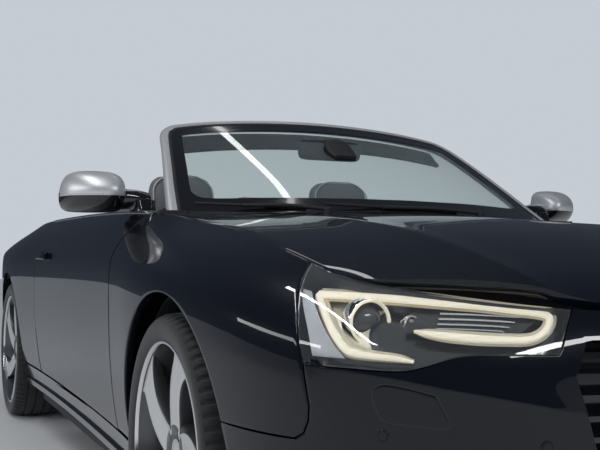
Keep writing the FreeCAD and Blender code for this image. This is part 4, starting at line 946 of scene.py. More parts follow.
class CAR_OT_bumper(bpy.types.Operator):
    """Model the front bumper with its folded line, washer covers, parking sensors and side intakes"""
    bl_idname = "car.bumper"
    bl_label = "Front bumper"

    def execute(self, context):
        inner = front_run([(0, 655), (370, 655), (400, 595), (300, 270), (0, 270)], [24, 8, 78, 40])
        lamp_end = corner_run(run([(-1327, 700), (-1313, 629)], [7]))
        lamp_low = corner_run([(across, z - 3) for across, z in spline_run(tuple(reversed(LAMP_BOTTOM)), 36)])
        seam = side_run([(2034, 612), (2047, 530), (2045, 502), (2036, SEAM_Z + 14), (2017, SEAM_Z)],
                        [8, 4, 4, 4])
        arch = arch_run(AXLE_X[0], arch_angle(SEAM_Z), 0, 6)
        seam_back = run([seam[-1], arch[0]], [8])
        arch_front = AXLE_X[0] + ARCH_RADIUS
        drop = side_run([(arch_front, AXLE_Z + ARCH_RISE), (arch_front, 212)], [7])
        hem_start = (station_at(arch_front, 0.0), 0.0)
        outer = run([(0.0, BELT), belt_at(-1330)], [24]) + lamp_end[:-1] + lamp_low[:-1] + seam[:-1]
        outer += seam_back[:-1] + arch[:-1] + drop[:-1] + run([hem_start, (0.0, 0.0)], [40])
        inner = resampled(inner, np.linspace(0, 1, len(outer)))
        top_middle = run([tuple(inner[0]), (0.0, BELT)], [10])
        low_middle = run([tuple(inner[-1]), (0.0, 0.0)], [10])
        half = patch(ring, inner, low_middle, outer, top_middle, "bumper_half", bumper_lift,
                     upward=np.linspace(0, 1, 56))
        other = mirrored_copy(half, "bumper_other_half")
        bumper = join([half, other], "front_bumper_skin")
        outward(bumper)
        face_out(bumper, (0.0, 0, 0.5))
        thicken(bumper, BUMPER_WALL, 1.5)
        finish_piece(bumper, "car_body", "paint", ["front_bumper"])
        cover = bumper_panel("washer_cover_left", WASHER_COVER, 0.9, 3.0, 0.8, (14, 10, 14, 10))
        gap = bumper_panel("washer_gap_left", WASHER_GAP, 0.25, 1.0, 0, (14, 10, 14, 10))
        finish_pair(cover, "car_body", "paint")
        finish_pair(gap, "car_body", "trim")
        for index, (across, z) in enumerate(SENSOR_PLACES):
            u, v = corner_run([(across, z)])[0]
            spot, over = ring.lifted([u, u], [v, v], [0.0, 1.0])
            lift = float(bumper_lift(np.array([u]), np.array([v]))[0])
            sensor = turned("sensor_left_%d" % index, SENSOR_PROFILE, tuple(spot + (over - spot) * lift),
                            tuple(over - spot), 32)
            finish_pair(sensor, "car_body", "paint")
        intake = bumper_panel("side_intake_left", SIDE_INTAKE, 0.6, 2.0, 0.6, (24, 14, 24, 14))
        finish_pair(intake, "car_body", "gloss_black")
        for index, z in enumerate((285, 312, 339, 366)):
            line = [(across, z) for across in (-1002, -1100, -1200, -1280)]
            bar = corner_bead("intake_bar_left_%d" % index, line, (7,) * 4, -1.0, 3.0, 30)
            finish_pair(bar, "car_body", "trim")
        return {"FINISHED"}


# Headlamps

# Middle lines of the light strips as (across, z) places
LAMP_TOP_STRIP = (
    (-862, 730), (-910, 729), (-957, 727), (-1012, 724), (-1067, 720), (-1122, 716), (-1176, 712),
    (-1230, 706), (-1268, 702), (-1286, 696), (-1289, 685), (-1282, 670), (-1267, 659), (-1249, 655),
    (-1218, 655), (-1168, 657), (-1116, 661), (-1081, 665), (-1060, 668))
LAMP_SIDE_STRIP = (
    (-862, 730), (-877, 711), (-898, 683), (-917, 659), (-940, 636), (-957, 629), (-987, 625),
    (-1038, 621), (-1066, 616))
# Light strips: name, line, widths, depth behind the cover, rise, count of places, finish
LAMP_STRIPS = (
    # The two light strips take the light guides' finish with its painted glow
    ("light_strip_left", LAMP_TOP_STRIP, (13,) * 15 + (14, 13, 9, 3), 16, 5.0, 150, "light_guide"),
    ("side_strip_left", LAMP_SIDE_STRIP, (12, 13, 14, 15, 15, 14, 12, 10, 5), 15, 5.0, 90, "light_guide"),
    ("strip_backing_left", LAMP_TOP_STRIP, (23,) * 15 + (24, 22, 16, 6), 22, 3.0, 150, "lamp_cream"),
    ("side_backing_left", LAMP_SIDE_STRIP, (22, 23, 24, 25, 25, 24, 20, 16, 8), 21, 3.0, 90, "lamp_cream"),
)
# Lamp panels: name, lower, outer, upper and inner lines, depth, counts of places, finish, slot
LAMP_PANELS = (
    ("lamp_side_panel_left", ((-877, 620), (-943, 619)), ((-943, 619), (-912, 650), (-875, 697), (-847, 736)),
     ((-822, 741), (-847, 736)), ((-877, 620), (-862, 665), (-822, 741)), 11, (16, 16),
     "lamp_grey", "lamp_inside"),
    ("lamp_reflector_left", ((-945, 636), (-985, 632)), ((-985, 632), (-975, 668), (-1000, 715)),
     ((-872, 723), (-1000, 715)), ((-945, 636), (-912, 668), (-872, 723)), 36, (14, 18),
     "lamp_cream", "lamp_inside"),
    ("lamp_shelf_left", ((-1040, 664), (-1240, 664)), ((-1240, 664), (-1266, 690)),
     ((-1040, 708), (-1266, 690)), ((-1040, 664), (-1040, 708)), 30, (24, 8), "gloss_black", "gloss_trim"),
)
LAMP_RIBS = ((698, -1236), (689, -1228), (680, -1220), (672, -1212))
PROJECTOR = (2058, 697, 682)
PROJECTOR_LENS = (2056, 697, 682)
BULB = (2104, 628, 680)
# Turned lamp pieces: name, profile, place, segments, closed on itself, finish, slot
LAMP_TURNED = (
    ("projector_barrel_left", ((44, -14), (44, 12), (42, 17), (38, 17), (35, 2), (34, -2), (34, -14)),
     PROJECTOR, 72, False, "chrome", "chrome"),
    ("projector_lens_left",
     ((33, -2), (33, 0), (31.5, 6), (28.5, 11), (23.5, 15.5), (17, 19), (9, 21.3), (0, 22)),
     PROJECTOR_LENS, 64, False, "projector", "lens"),
    # The projector's ring takes the light guides' finish with its painted glow
    ("projector_ring_left", ((41.5, 15.5), (43.5, 18.5), (42.5, 20.5), (39, 20.5), (37, 18.5), (36.5, 15.5)),
     PROJECTOR, 72, True, "light_guide", "lamp_inside"),
    ("lamp_socket_left", ((16, -10), (16, 4), (15, 6), (12.5, 6), (11.5, 1), (0, -4)),
     BULB, 40, False, "chrome", "chrome"),
    ("lamp_bulb_left", ((8, -4), (9, 1), (8.5, 6), (6, 9.5), (3, 11), (0, 11.4)),
     BULB, 32, False, "lamp_rose", "lamp_inside"),
)
BOWL_DEPTH = -44.0
BOWL_RIM = -5.0


def bowl_lift(u, v, shape):
    """Depth of the lamp bowl, shallow along its rim."""
    depth = np.full(shape, BOWL_DEPTH)
    depth[[0, -1], :] = BOWL_RIM
    depth[:, [0, -1]] = BOWL_RIM
    return depth.ravel()


class CAR_OT_headlamps(bpy.types.Operator):
    """Model the headlamps with their bowls, light strips, projectors and clear covers"""
    bl_idname = "car.headlamps"
    bl_label = "Headlamps"

    def execute(self, context):
        bottom = corner_run(spline_run(LAMP_BOTTOM, 61))
        end = corner_run(run(LAMP_END, [8])) + [belt_at(-1326)]
        side = corner_run(spline_run(LAMP_SIDE, 12)) + [belt_at(-822)]
        top = run([side[-1], end[-1]], [60])
        across = np.concatenate([[0, 0.012], np.linspace(0.03, 0.97, 70), [0.988, 1]])
        upward = np.concatenate([[0, 0.04], np.linspace(0.08, 0.92, 22), [0.96, 1]])
        lens = patch(ring, bottom, end, top, side, "lens_left", 0.0, across, upward)
        face_out(lens, NOSE_INSIDE)
        rows, columns = len(upward) - 1, len(across) - 1
        for face in lens.data.polygons:
            row, column = divmod(face.index, columns)
            face.material_index = int(row in (0, rows - 1) or column in (0, columns - 1))
        thicken(lens, 3.0, 0)
        across = np.concatenate([[0.004, 0.012], np.linspace(0.03, 0.97, 50), [0.988, 0.996]])
        upward = np.concatenate([[0.01, 0.04], np.linspace(0.1, 0.9, 14), [0.96, 0.99]])
        bowl = patch(ring, bottom, end, top, side, "lamp_bowl_left", bowl_lift, across, upward)
        face_out(bowl, NOSE_INSIDE)
        thicken(bowl, 2.0, 0)
        pieces = [(lens, "lens", "lens"), (bowl, "lamp_dark", "lamp_inside")]
        for name, line, widths, depth, rise, count, material in LAMP_STRIPS:
            pieces.append((corner_bead(name, line, widths, depth, rise, count), material, "lamp_inside"))
        for name, *lines, depth, counts, material, slot in LAMP_PANELS:
            pieces.append((corner_panel(name, lines, depth, counts), material, slot))
        for index, (z, reach) in enumerate(LAMP_RIBS):
            line = ((-1095, z), (-1150, z - 1), (-1200, z - 3), (reach, z - 5))
            rib = corner_bead("lamp_rib_left_%d" % index, line, (2.6,) * 4, 28, 2.2, 30)
            pieces.append((rib, "chrome", "chrome"))
        for name, profile, place, segments, closed, material, slot in LAMP_TURNED:
            pieces.append((turned(name, profile, place, (1, 0, 0), segments, closed), material, slot))
        for piece, material, slot in pieces:
            for item in finish_pair(piece, "car_body", material):
                if piece is lens:
                    item.data.materials.append(materials["gloss_black"])
                    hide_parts("headlamp_lenses")
                if piece is bowl:
                    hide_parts("headlamp_housings")
        return {"FINISHED"}


# Windscreen

# Rows of the screen's surface from the base up: x, z, half width, sweep and drop towards the sides
SCREEN_ROWS = (
    (1165, 862, 716, 178, -4), (1000, 956, 700, 168, 0), (790, 1082, 668, 132, 8),
    (565, 1210, 634, 92, 18), (338, 1334, 600, 58, 32), (110, 1454, 566, 30, 46),
)
SCREEN_COLUMNS = (-1.25, -1.0, -0.8, -0.5, 0.0, 0.5, 0.8, 1.0, 1.25)
SCREEN_UP = np.array((-math.cos(math.radians(30)), 0, math.sin(math.radians(30))))
SCREEN_BASE = float(np.array((1000, 0, 956)) @ SCREEN_UP)
SCREEN_MIRROR = 8.0
# Left halves of outlines on the screen as (across, up) places: inner and outer edge of the frame, clear glass
SCREEN_INNER = ((712, 2), (702, 80), (690, 156), (668, 285), (645, 407), (616, 560), (592, 668), (570, 706),
                (525, 724), (300, 730), (0, 732))
SCREEN_OUTER = ((738, 2), (733, 80), (724, 156), (700, 285), (675, 407), (645, 560), (622, 675), (590, 734),
                (525, 757), (300, 761), (0, 762))
SCREEN_CLEAR = ((0, 95), (221, 106), (463, 139), (590, 172), (624, 215), (621, 270), (600, 382), (575, 520),
                (553, 625), (530, 650), (300, 662), (0, 668))
SCREEN_CENTRE = (0.0, 380.0)
HEADER_HALF = 560
SEAL_WIDTH = 13
PANE_DEPTH = -6.0
BORDER_DEPTH = -4.9


def screen_point(row, share):
    x, z, half, sweep, drop = row
    return x - sweep * share ** 2, half * share, z - drop * share ** 2


screen_net = Net([[screen_point(row, share) for row in SCREEN_ROWS] for share in SCREEN_COLUMNS], 0, 0)


def screen_run(points):
    """Parameters of the windscreen's surface at (across, up) places on its plane."""
    line = np.array(points, float)
    u, v = screen_net.place((0, 1, 0), line[:, 0], SCREEN_UP, line[:, 1] + SCREEN_BASE, (4.0, 2.5))
    return list(zip(u, v))


def screen_whole(points):
    """Parameters of a whole line across the screen from its left half."""
    half = np.array(screen_run(points))
    return np.vstack([half, (half * (-1, 1) + (SCREEN_MIRROR, 0.0))[-2::-1]])


def ribbon(first, second, name, heights, depth, edge=0.0):
    """Band of the screen between two lines of parameters, with a height for each place across it."""
    first, second = np.array(first, float), np.array(second, float)
    shares = np.linspace(0, 1, len(heights))[:, None, None]
    grid = (1 - shares) * first[None] + shares * second[None]
    height = np.broadcast_to(np.array(heights, float)[:, None], grid.shape[:2]).ravel()
    points = screen_net.lifted(grid[..., 0].ravel(), grid[..., 1].ravel(), height) * MM
    item = spread_grid(name, points.reshape(grid.shape[0], grid.shape[1], 3))
    return thicken(face_out(item, SCREEN_INSIDE), depth, edge)


def by_angle(line, angles, centre):
    """Places of a closed line seen from a centre at the given angles."""
    line = np.vstack([line, line[:1]])
    dense = resampled(line, np.linspace(0, 1, 4000)) - centre
    turn = np.arctan2(dense[:, 1], dense[:, 0])
    order = np.argsort(turn)
    radius = np.interp(angles, turn[order], np.linalg.norm(dense, axis=1)[order], period=2 * math.pi)
    return np.stack([np.cos(angles) * radius, np.sin(angles) * radius], axis=1) + centre


class CAR_OT_windscreen(bpy.types.Operator):
    """Model the windscreen's silver frame, seal, tinted glass and its black border"""
    bl_idname = "car.windscreen"
    bl_label = "Windscreen"

    def execute(self, context):
        shares = np.linspace(0, 1, 100)
        inner = resampled(spline_run(SCREEN_INNER, 400), shares)
        outer = resampled(spline_run(SCREEN_OUTER, 400), shares)
        inner_all = screen_whole(inner)
        band = ribbon(screen_whole(outer), inner_all, "screen_frame_band", (-9, -2, 0.5, 1, 0.5, -2), 44, 3.0)
        finish_piece(band, "car_body", "silver", ["windscreen_frame"])
        lean = np.gradient(inner, axis=0)
        lean = np.stack([-lean[:, 1], lean[:, 0]], axis=1) / np.linalg.norm(lean, axis=1)[:, None]
        seal = ribbon(inner_all, screen_whole(inner + lean * SEAL_WIDTH), "screen_seal",
                      (-3, -1.5, -2.5, -6.5), 9, 0.8)
        finish_piece(seal, "car_body", "trim")
        side = screen_run(inner[2:76])
        other = [(SCREEN_MIRROR - u, v) for u, v in side]
        high = inner[75:]
        top = screen_run(np.vstack([high, (high * (-1, 1))[-2::-1]]))
        base = run([other[0], side[0]], [70])
        pane = patch(screen_net, base, side, list(reversed(top)), other, "screen_glass", PANE_DEPTH)
        face_out(pane, SCREEN_INSIDE)
        thicken(pane, 5.0, 0)
        finish_piece(pane, "car_body", "glass", ["windscreen"])
        outline = np.vstack([inner, (inner * (-1, 1))[-2::-1]])
        clear = spline_run(SCREEN_CLEAR, 200)
        hole = np.vstack([clear, (clear * (-1, 1))[-2:0:-1]])
        angles = np.linspace(-math.pi, math.pi, 361)[:-1]
        rim, edge = (screen_run(np.vstack([line, line[:1]])) for line in
                     (by_angle(outline, angles, SCREEN_CENTRE), by_angle(hole, angles, SCREEN_CENTRE)))
        border = ribbon(rim, edge, "screen_border", (BORDER_DEPTH,) * 3, 0.6)
        finish_piece(border, "car_body", "gloss_black")
        rail = ribbon(*(screen_run([(share * HEADER_HALF, up) for share in np.linspace(-1, 1, 40)])
                        for up in (735, 640)), "screen_header", (-46, -52, -58, -60), 16, 4.0)
        finish_piece(rail, "car_body", "trim")
        return {"FINISHED"}


# Mirrors

# Rings of the left mirror's head from the tip inward: y, x of the back, z, reach ahead, half height
MIRROR_RINGS = (
    (1007, 588, 990, 14, 14), (1002, 590, 994, 46, 36), (990, 593, 1000, 82, 54), (968, 598, 1005, 112, 63),
    (935, 607, 1007, 132, 66), (895, 617, 1007, 140, 66), (862, 626, 1006, 136, 64),
    (840, 631, 1003, 120, 59), (828, 634, 1000, 98, 50), (822, 636, 997, 60, 30),
)
STALK_RINGS = (
    (756, 676, 980, 92, 27), (785, 668, 983, 94, 31), (822, 650, 985, 92, 33), (856, 636, 987, 84, 34),
    (880, 632, 990, 70, 32),
)
# Heights at which the black lower part of the head and of the stalk begins
MIRROR_SPLIT = 990
STALK_SPLIT = 1007
# Levels of the foot on the door: x, z, half length
MIRROR_FOOT = ((722, 944, 62), (722, 952, 60), (720, 966, 54), (718, 978, 50))
MIRROR_LAMP = ((994, 664), (970, 702), (935, 731), (900, 748))
MIRROR_LAMP_Z = 996
# Half of the interior mirror's rings: y, x, z, half thickness, half height
INSIDE_MIRROR = ((-125, 490, 1199, 9, 22), (-119, 490, 1199, 13, 31), (-104, 490, 1199, 15, 36),
                 (-50, 489, 1200, 18, 38))
# Rings of the housing behind the interior mirror: x, z, half width, half height
SENSOR_HOUSING = ((500, 1212, 20, 14), (520, 1219, 34, 22), (545, 1213, 46, 20), (590, 1186, 52, 12),
                  (628, 1164, 44, 6))


def rounded(turn, power):
    """Place at an angle on a rounded square whose corners grow with the power."""
    return [abs(part) ** (2 / power) * math.copysign(1, part) for part in (math.cos(turn), math.sin(turn))]


def full_turn(count):
    return np.linspace(0, 2 * math.pi, count, endpoint=False)


def oval(centre, first, second, power=2.6, count=40):
    """Ring of points on a rounded rectangle spanned by two half axes."""
    points = []
    for turn in full_turn(count):
        a, b = rounded(turn, power)
        points.append((np.array(centre) + np.array(first) * a + np.array(second) * b) * MM)
    return points


def split_ring(sizes, split):
    """Ring of a mirror piece at one place across the car, with points where its finish changes."""
    y, back, z, reach, half = sizes
    start = math.asin(max(-0.95, min(0.95, (split - z) / half)))
    turns = np.concatenate([np.linspace(start, math.pi - start, 25)[:-1],
                            np.linspace(math.pi - start, 2 * math.pi + start, 25)[:-1]])
    section = []
    for turn in turns:
        ahead, rise = math.cos(turn), math.sin(turn)
        x = back + (reach * abs(ahead) ** 0.85 if ahead > 0 else -7 * abs(ahead) ** 0.4)
        section.append((x * MM, y * MM, (z + half * rise) * MM))
    return section


class CAR_OT_mirrors(bpy.types.Operator):
    """Model the door mirrors and the interior mirror"""
    bl_idname = "car.mirrors"
    bl_label = "Mirrors"

    def execute(self, context):
        head = closed_grid("mirror_head_left", [split_ring(sizes, MIRROR_SPLIT) for sizes in
                                                spline_run(MIRROR_RINGS, 46)], 40)
        pane_rows = []
        for y, back, z, reach, half in spline_run(MIRROR_RINGS[2:8], 24):
            heights = np.linspace(-half + 9, half - 9, 13)
            pane_rows.append([((back - 7.6) * MM, y * MM, (z + rise) * MM) for rise in heights])
        pane = spread_grid("mirror_pane_left", pane_rows)
        face_out(pane, (0.9, 0.92, 1.0))
        thicken(pane, 2.0, 0)
        stalk = closed_grid("mirror_stalk_left", [split_ring(sizes, STALK_SPLIT) for sizes in
                                                  spline_run(STALK_RINGS, 24)], 40)
        foot = closed_grid("mirror_foot_left", [oval((x, 770, z), (reach, 0, 0), (0, 34, 0), 3.6, 28)
                                                for x, z, reach in MIRROR_FOOT], 40)
        lamp = closed_grid("mirror_lamp_left", [oval((x, y, MIRROR_LAMP_Z), (7, 0, 0), (0, 0, 3.4), 2.4, 16)
                                                for y, x in spline_run(MIRROR_LAMP, 14)], 40)
        for piece, material, slot, split in (
                (pane, "mirror", "silver_trim", None), (foot, "gloss_black", "gloss_trim", None),
                (stalk, "silver", "silver_trim", STALK_SPLIT), (head, "silver", "silver_trim", MIRROR_SPLIT),
                (lamp, "lamp_grey", "lens", None)):
            for item in finish_pair(piece, "door_", material, "mirror_" if piece is head else None):
                if split:
                    second_finish(item, "gloss_black", lambda face: face.center.z * 1000 < split)
        inside_rings = INSIDE_MIRROR + ((0, 488, 1201, 20, 39),)
        inside_rings += tuple((-y, *sizes) for y, *sizes in reversed(INSIDE_MIRROR))
        shell = closed_grid("inside_mirror", [
            oval((x, y, z), (half, 0, half * 0.12), (-rise * 0.12, 0, rise), 3.4, 40)
            for y, x, z, half, rise in spline_run(inside_rings, 40)], 40)
        finish_piece(shell, "car_body", "trim", ["interior_mirror"])
        housing = closed_grid("sensor_housing", [
            oval((x, 0, z), (0, half, 0), (0.45 * rise, 0, 0.9 * rise), 3.2, 36)
            for x, z, half, rise in spline_run(SENSOR_HOUSING, 20)], 40)
        finish_piece(housing, "car_body", "trim")
        return {"FINISHED"}


# Wheels

ARM_COUNT = 5
LUG_RADIUS = 58
BARREL_PROFILE = (
    (268, 110), (270, 114), (268.5, 117.4), (264.5, 118.4), (260.5, 118.2), (258.5, 116), (257.5, 110),
    (252, 96), (246, 78), (241, 50), (239, 0), (240, -70), (250, -98), (258, -112), (266, -117),
    (270, -114), (268, -108), (260, -94), (247, -74), (245, 0), (248, 60), (260, 96))
HUB_PROFILE = ((80, 40), (84, 70), (80, 84), (66, 90), (46, 91), (40, 86), (36, 84), (30, 84), (30, 40))
LUG_HOLE = ((12.5, 60), (12.5, 100), (0, 100))
BOLT_PROFILE = ((10.5, 50), (10.5, 62), (9.5, 63), (9.0, 76), (8.0, 78), (0, 78))
CAP_PROFILE = ((33, 78), (34, 83), (32.5, 86.5), (30, 86.5), (29, 85), (24, 86.4), (12, 87.4), (0, 87.8))
# Stations along an arm: radius, lead angle, half width ahead, half width behind, front face, depth
ARM_STATIONS = (
    (48, -2, 38, 38, 88, 34), (85, 0, 40, 38, 91, 38), (120, 3, 42, 36, 95, 42), (165, 8, 46, 34, 100, 44),
    (205, 14, 54, 34, 104, 40), (238, 19, 68, 38, 107, 32), (254, 21, 88, 52, 108, 24),
    (263, 22, 104, 64, 108, 18),
)
# An arm's section as shares of its half width and depth
ARM_SECTION = (
    (-1, -0.1), (-0.97, -0.03), (-0.9, 0.0), (-0.6, 0.012), (-0.2, 0.02), (0.2, 0.02), (0.6, 0.012),
    (0.9, 0.0), (0.97, -0.03), (1, -0.1), (0.98, -0.5), (0.86, -0.92), (0.7, -1), (0, -1.0), (-0.7, -1),
    (-0.86, -0.92), (-0.98, -0.5))
ARM_HOLLOW = 2.0
# Outer half of the tyre's section up to the tread: radius, along the axle
TYRE_HALF = (
    (258, 100), (264, 110), (268, 117), (272, 119.5), (279, 121.5), (286, 123), (296, 124.3), (306, 124.5),
    (314, 122.6), (320, 119), (325, 113.5), (329, 106), (331.5, 98), (332.6, 88))
GROOVE_PLACES = (66, 23)
# A groove round the tyre: radius, distance from its middle
GROOVE = ((333.0, 7.5), (333.0, 5.2), (326.0, 4.2), (326.0, -4.2), (333.1, -5.2), (333.3, -7.5))
TYRE_STEPS = 360
STEPS_PER_BLOCK = 5
LIP_WIDTH = 109


def on_wheel(radius, turn, along):
    return radius * math.sin(turn) * MM, along * MM, radius * math.cos(turn) * MM


def round_lugs(name, profile, segments):
    """Turned piece repeated at the wheel's bolt places."""
    pieces = []
    for index in range(ARM_COUNT):
        turn = math.radians(index * 72 + 36)
        spot = (LUG_RADIUS * math.sin(turn), 0, LUG_RADIUS * math.cos(turn))
        pieces.append(turned(name, profile, spot, (0, 1, 0), segments))
    return join(pieces, name)


def arm_ring(station, index):
    """Ring of points round an arm at one of its stations."""
    radius, lead, ahead, behind, front, depth = station
    points = []
    for across, rise in ARM_SECTION:
        turn = math.radians(lead + 72 * index) + across * (ahead if across > 0 else behind) / radius
        height = front + rise * depth - ARM_HOLLOW * (1 - across ** 2) * (radius / 264)
        points.append(on_wheel(radius, turn, height))
    return points


def tyre_rows(depth):
    """Sections round the tyre, sunk by a depth where its shoulders have cross grooves."""
    profile = list(TYRE_HALF)
    for middle in GROOVE_PLACES:
        profile += [(radius, middle + off) for radius, off in GROOVE]
    half = np.array(profile)
    whole = np.vstack([half, [(333.4, 0)], (half * (1, -1))[::-1], [(250, 0)]])
    shoulder = [k for k, (radius, along) in enumerate(whole) if 76 < abs(along) < 115 and radius > 322]
    rows = []
    for step in range(TYRE_STEPS):
        spots = whole.copy()
        if step % STEPS_PER_BLOCK in (0, 1):
            spots[shoulder, 0] -= depth
        rows.append([on_wheel(radius, 2 * math.pi * step / TYRE_STEPS, along) for radius, along in spots])
    return rows


class CAR_OT_wheels(bpy.types.Operator):
    """Model the wheels with five swept arms and the treaded tyres"""
    bl_idname = "car.wheels"
    bl_label = "Wheels"

    def execute(self, context):
        place = (0, 0, 0)
        axis = (0, 1, 0)
        barrel = turned("rim_barrel", BARREL_PROFILE, place, axis, 160, True)
        hub = turned("rim_hub", HUB_PROFILE, place, axis, 96, True)
        cutter = round_lugs("holes", LUG_HOLE, 28)
        modify(hub, "BOOLEAN", operation="DIFFERENCE", object=cutter, solver="EXACT")
        bpy.data.objects.remove(cutter)
        bolt = round_lugs("rim_bolts", BOLT_PROFILE, 6)
        cap = turned("rim_cap", CAP_PROFILE, place, axis, 72)
        stations = spline_run(ARM_STATIONS, 34)
        arm = join([closed_grid("arm", [arm_ring(station, index) for station in stations])
                    for index in range(ARM_COUNT)], "rim_arms")
        outward(arm)
        smooth(arm, 32)
        tyre = closed_loop("tyre_tread", tyre_rows(context.scene.car_sizes.tread), 28)
        for place_name, x in zip(("front", "rear"), AXLE_X):
            for side, sign in (("left", 1), ("right", -1)):
                ending = "%s_%s" % (place_name, side)
                for piece, material, slot, node in (
                        (barrel, "wheel_lip", "wheel_silver", None), (hub, "wheel_side", "wheel_silver", None),
                        (bolt, "steel", "wheel_silver", None), (cap, "wheel", "wheel_silver", None),
                        (arm, "wheel", "wheel_silver", "rim_"), (tyre, "rubber", "tyre_rubber", "tyre_")):
                    item = piece.copy()
                    item.data = piece.data.copy()
                    item.name = "%s_%s" % (piece.name, ending)
                    context.collection.objects.link(item)
                    if sign < 0:
                        item.data.transform(Matrix.Scale(-1, 4, Vector((0, 1, 0))))
                        item.data.flip_normals()
                    item.data.transform(Matrix.Translation(Vector((x, sign * WHEEL_Y, AXLE_Z)) * MM))
                    finish_piece(item, "wheel_" + ending, material, [node + ending] if node else ())
                    if piece is barrel:
                        second_finish(item, "wheel_side",
                                      lambda face: abs(face.center.y) * 1000 < WHEEL_Y + LIP_WIDTH)
                    if piece is arm:
                        second_finish(item, "wheel_side", lambda face: face.normal.y * sign < 0.75)
        for piece in (barrel, hub, bolt, cap, arm, tyre):
            bpy.data.objects.remove(piece)
        return {"FINISHED"}


# Seats

SEAT_Y = 370
PAD_POWER = 4.2
BENCH_POWER = 5.5
FRONT_LEAN = 74
REAR_LEAN = 78
REAR_WALL = -1150
# Front cushion from front to back: x, z, half width, depth, raised sides
CUSHION = ((44, 352, 214, 24, 8), (64, 350, 236, 44, 22), (160, 350, 242, 50, 34), (300, 356, 242, 52, 34),
           (440, 366, 240, 52, 24), (520, 366, 232, 46, 10), (552, 356, 218, 30, 2))
# Front backrest from the seat up: the same columns
BACKREST = ((30, 396, 216, 26, 8), (16, 430, 236, 44, 26), (-10, 520, 240, 52, 42), (-52, 660, 238, 50, 44),
            (-98, 800, 222, 44, 34), (-130, 880, 196, 36, 18), (-142, 918, 168, 22, 4))
# Head restraint and the shell behind the backrest: x, z, half width, depth
HEADREST = ((-140, 952, 100, 22), (-146, 968, 124, 36), (-158, 1010, 134, 46), (-172, 1066, 136, 46),
            (-184, 1112, 124, 38), (-190, 1134, 96, 20))
SEAT_SHELL = ((-26, 400, 216, 20), (-46, 470, 232, 26), (-88, 620, 232, 26), (-140, 800, 214, 24),
              (-166, 900, 168, 14))
# Seat base: x, half width
SEAT_BASE = ((40, 208), (60, 232), (300, 238), (500, 232), (528, 208))
# Rear bench, behind the rear wall: x, z, half width, depth
REAR_CUSHION = ((84, 484, 440, 26), (104, 486, 456, 42), (230, 490, 458, 48), (380, 500, 458, 50),
                (440, 500, 448, 40), (462, 492, 436, 22))
REAR_BACKREST = ((140, 520, 440, 26), (136, 545, 456, 42), (112, 700, 458, 46), (84, 850, 456, 42),
                 (74, 900, 446, 28), (70, 916, 436, 16))
REAR_HEADREST = ((66, 922, 92, 20), (62, 940, 110, 34), (56, 990, 116, 42), (46, 1060, 116, 42),
                 (38, 1104, 106, 34), (34, 1122, 84, 18))
# Halves of the piping round the head restraint and the backrest, and the cushion's edge: x, across, z
HEADREST_PIPING = ((-134, -122, 975), (-124, -128, 1035), (-136, -122, 1095), (-150, -70, 1136),
                   (-154, 0, 1141))
BACKREST_PIPING = ((60, -132, 412), (44, -140, 520), (-2, -140, 660), (-52, -128, 800), (-86, -84, 884),
                   (-94, 0, 900))
CUSHION_PIPING = ((100, -140, 404), (220, -140, 410), (380, -140, 420), (500, -134, 420))
# Sewn lines across the pads: x, z, shift of the middle forward and up
SEAT_SEAMS = ((190, 405, 0, 5), (290, 412, 0, 5), (390, 420, 0, 5), (26, 560, 2, 0), (-4, 650, 2, 0),
              (-32, 740, 2, 0))


def tube_along(name, points, radius, count=60, sides=10):
    """Round cord or piping along a smooth line of places in millimetres."""
    line = spline_run(points, count)
    rings = []
    up = np.array((0.13, 0.21, 0.97))
    for index in range(count):
        way = line[min(index + 1, count - 1)] - line[max(index - 1, 0)]
        way /= np.linalg.norm(way)
        side = np.cross(way, up)
        side /= np.linalg.norm(side)
        over = np.cross(side, way)
        rings.append([(line[index] + radius * (math.cos(turn) * side + math.sin(turn) * over)) * MM
                      for turn in full_turn(sides)])
    return closed_grid(name, rings, 60)


def swell(item, reach, pressure=4.0, voxel=0.009):
    """Lets a pad fill out under a soft inner pressure; no point moves further than reach millimetres."""
    modify(item, "REMESH", mode="VOXEL", voxel_size=voxel)
    start = np.zeros(len(item.data.vertices) * 3)
    item.data.vertices.foreach_get("co", start)
    activate(item)
    soft = item.modifiers.new("Swell", "CLOTH")
    soft.settings.quality = 4
    soft.settings.use_pressure = True
    soft.settings.uniform_pressure_force = pressure
    soft.settings.effector_weights.gravity = 0
    soft.settings.tension_stiffness = 12
    soft.settings.bending_stiffness = 2
    for step in range(1, 21):
        bpy.context.scene.frame_set(step)
    bpy.ops.object.modifier_apply(modifier=soft.name)
    bpy.context.scene.frame_set(1)
    end = np.zeros(len(start))
    item.data.vertices.foreach_get("co", end)
    move = (end - start).reshape(-1, 3)
    length = np.linalg.norm(move, axis=1, keepdims=True)
    move *= np.minimum(1, reach * MM / np.maximum(length, 1e-9))
    item.data.vertices.foreach_set("co", start + move.ravel())
    item.data.update()
    modify(item, "SUBSURF", levels=1, render_levels=1)
    return smooth(item, 60)


def pad_ring(place, lean, half, depth, power, count, crown, bolster=0, dip=None):
    """Ring across a seat pad with a flat back; its face has raised sides or, on the bench, two hollows."""
    tilt = math.radians(lean)
    forward = np.array((math.sin(tilt), 0, math.cos(tilt)))
    points = []
    for turn in full_turn(count):
        a, b = rounded(turn, power)
        rise = b * depth
        if b > 0 and dip is None:
            rise = b * (depth + crown * (1 - a * a) * 0.4)
            rise += bolster * np.clip((abs(a) - 0.55) / 0.3, 0, 1) ** 1.5 * b
        elif b > 0:
            rise += b * (crown - dip * math.exp(-((abs(a) - 0.56) / 0.26) ** 2))
        points.append((np.array(place) + np.array((0, 1, 0)) * half * a + forward * rise) * MM)
    return points


def seat_pad(name, sections, y, lean, crown, steps):
    """Pad of a front seat or head restraint through sections of x, z, half width, depth and raised sides."""
    rings = []
    for x, z, half, depth, *bolster in spline_run(sections, steps):
        rings.append(pad_ring((x, y, z), lean, half, depth, PAD_POWER, 44, crown, *bolster))
    return closed_grid(name, rings)


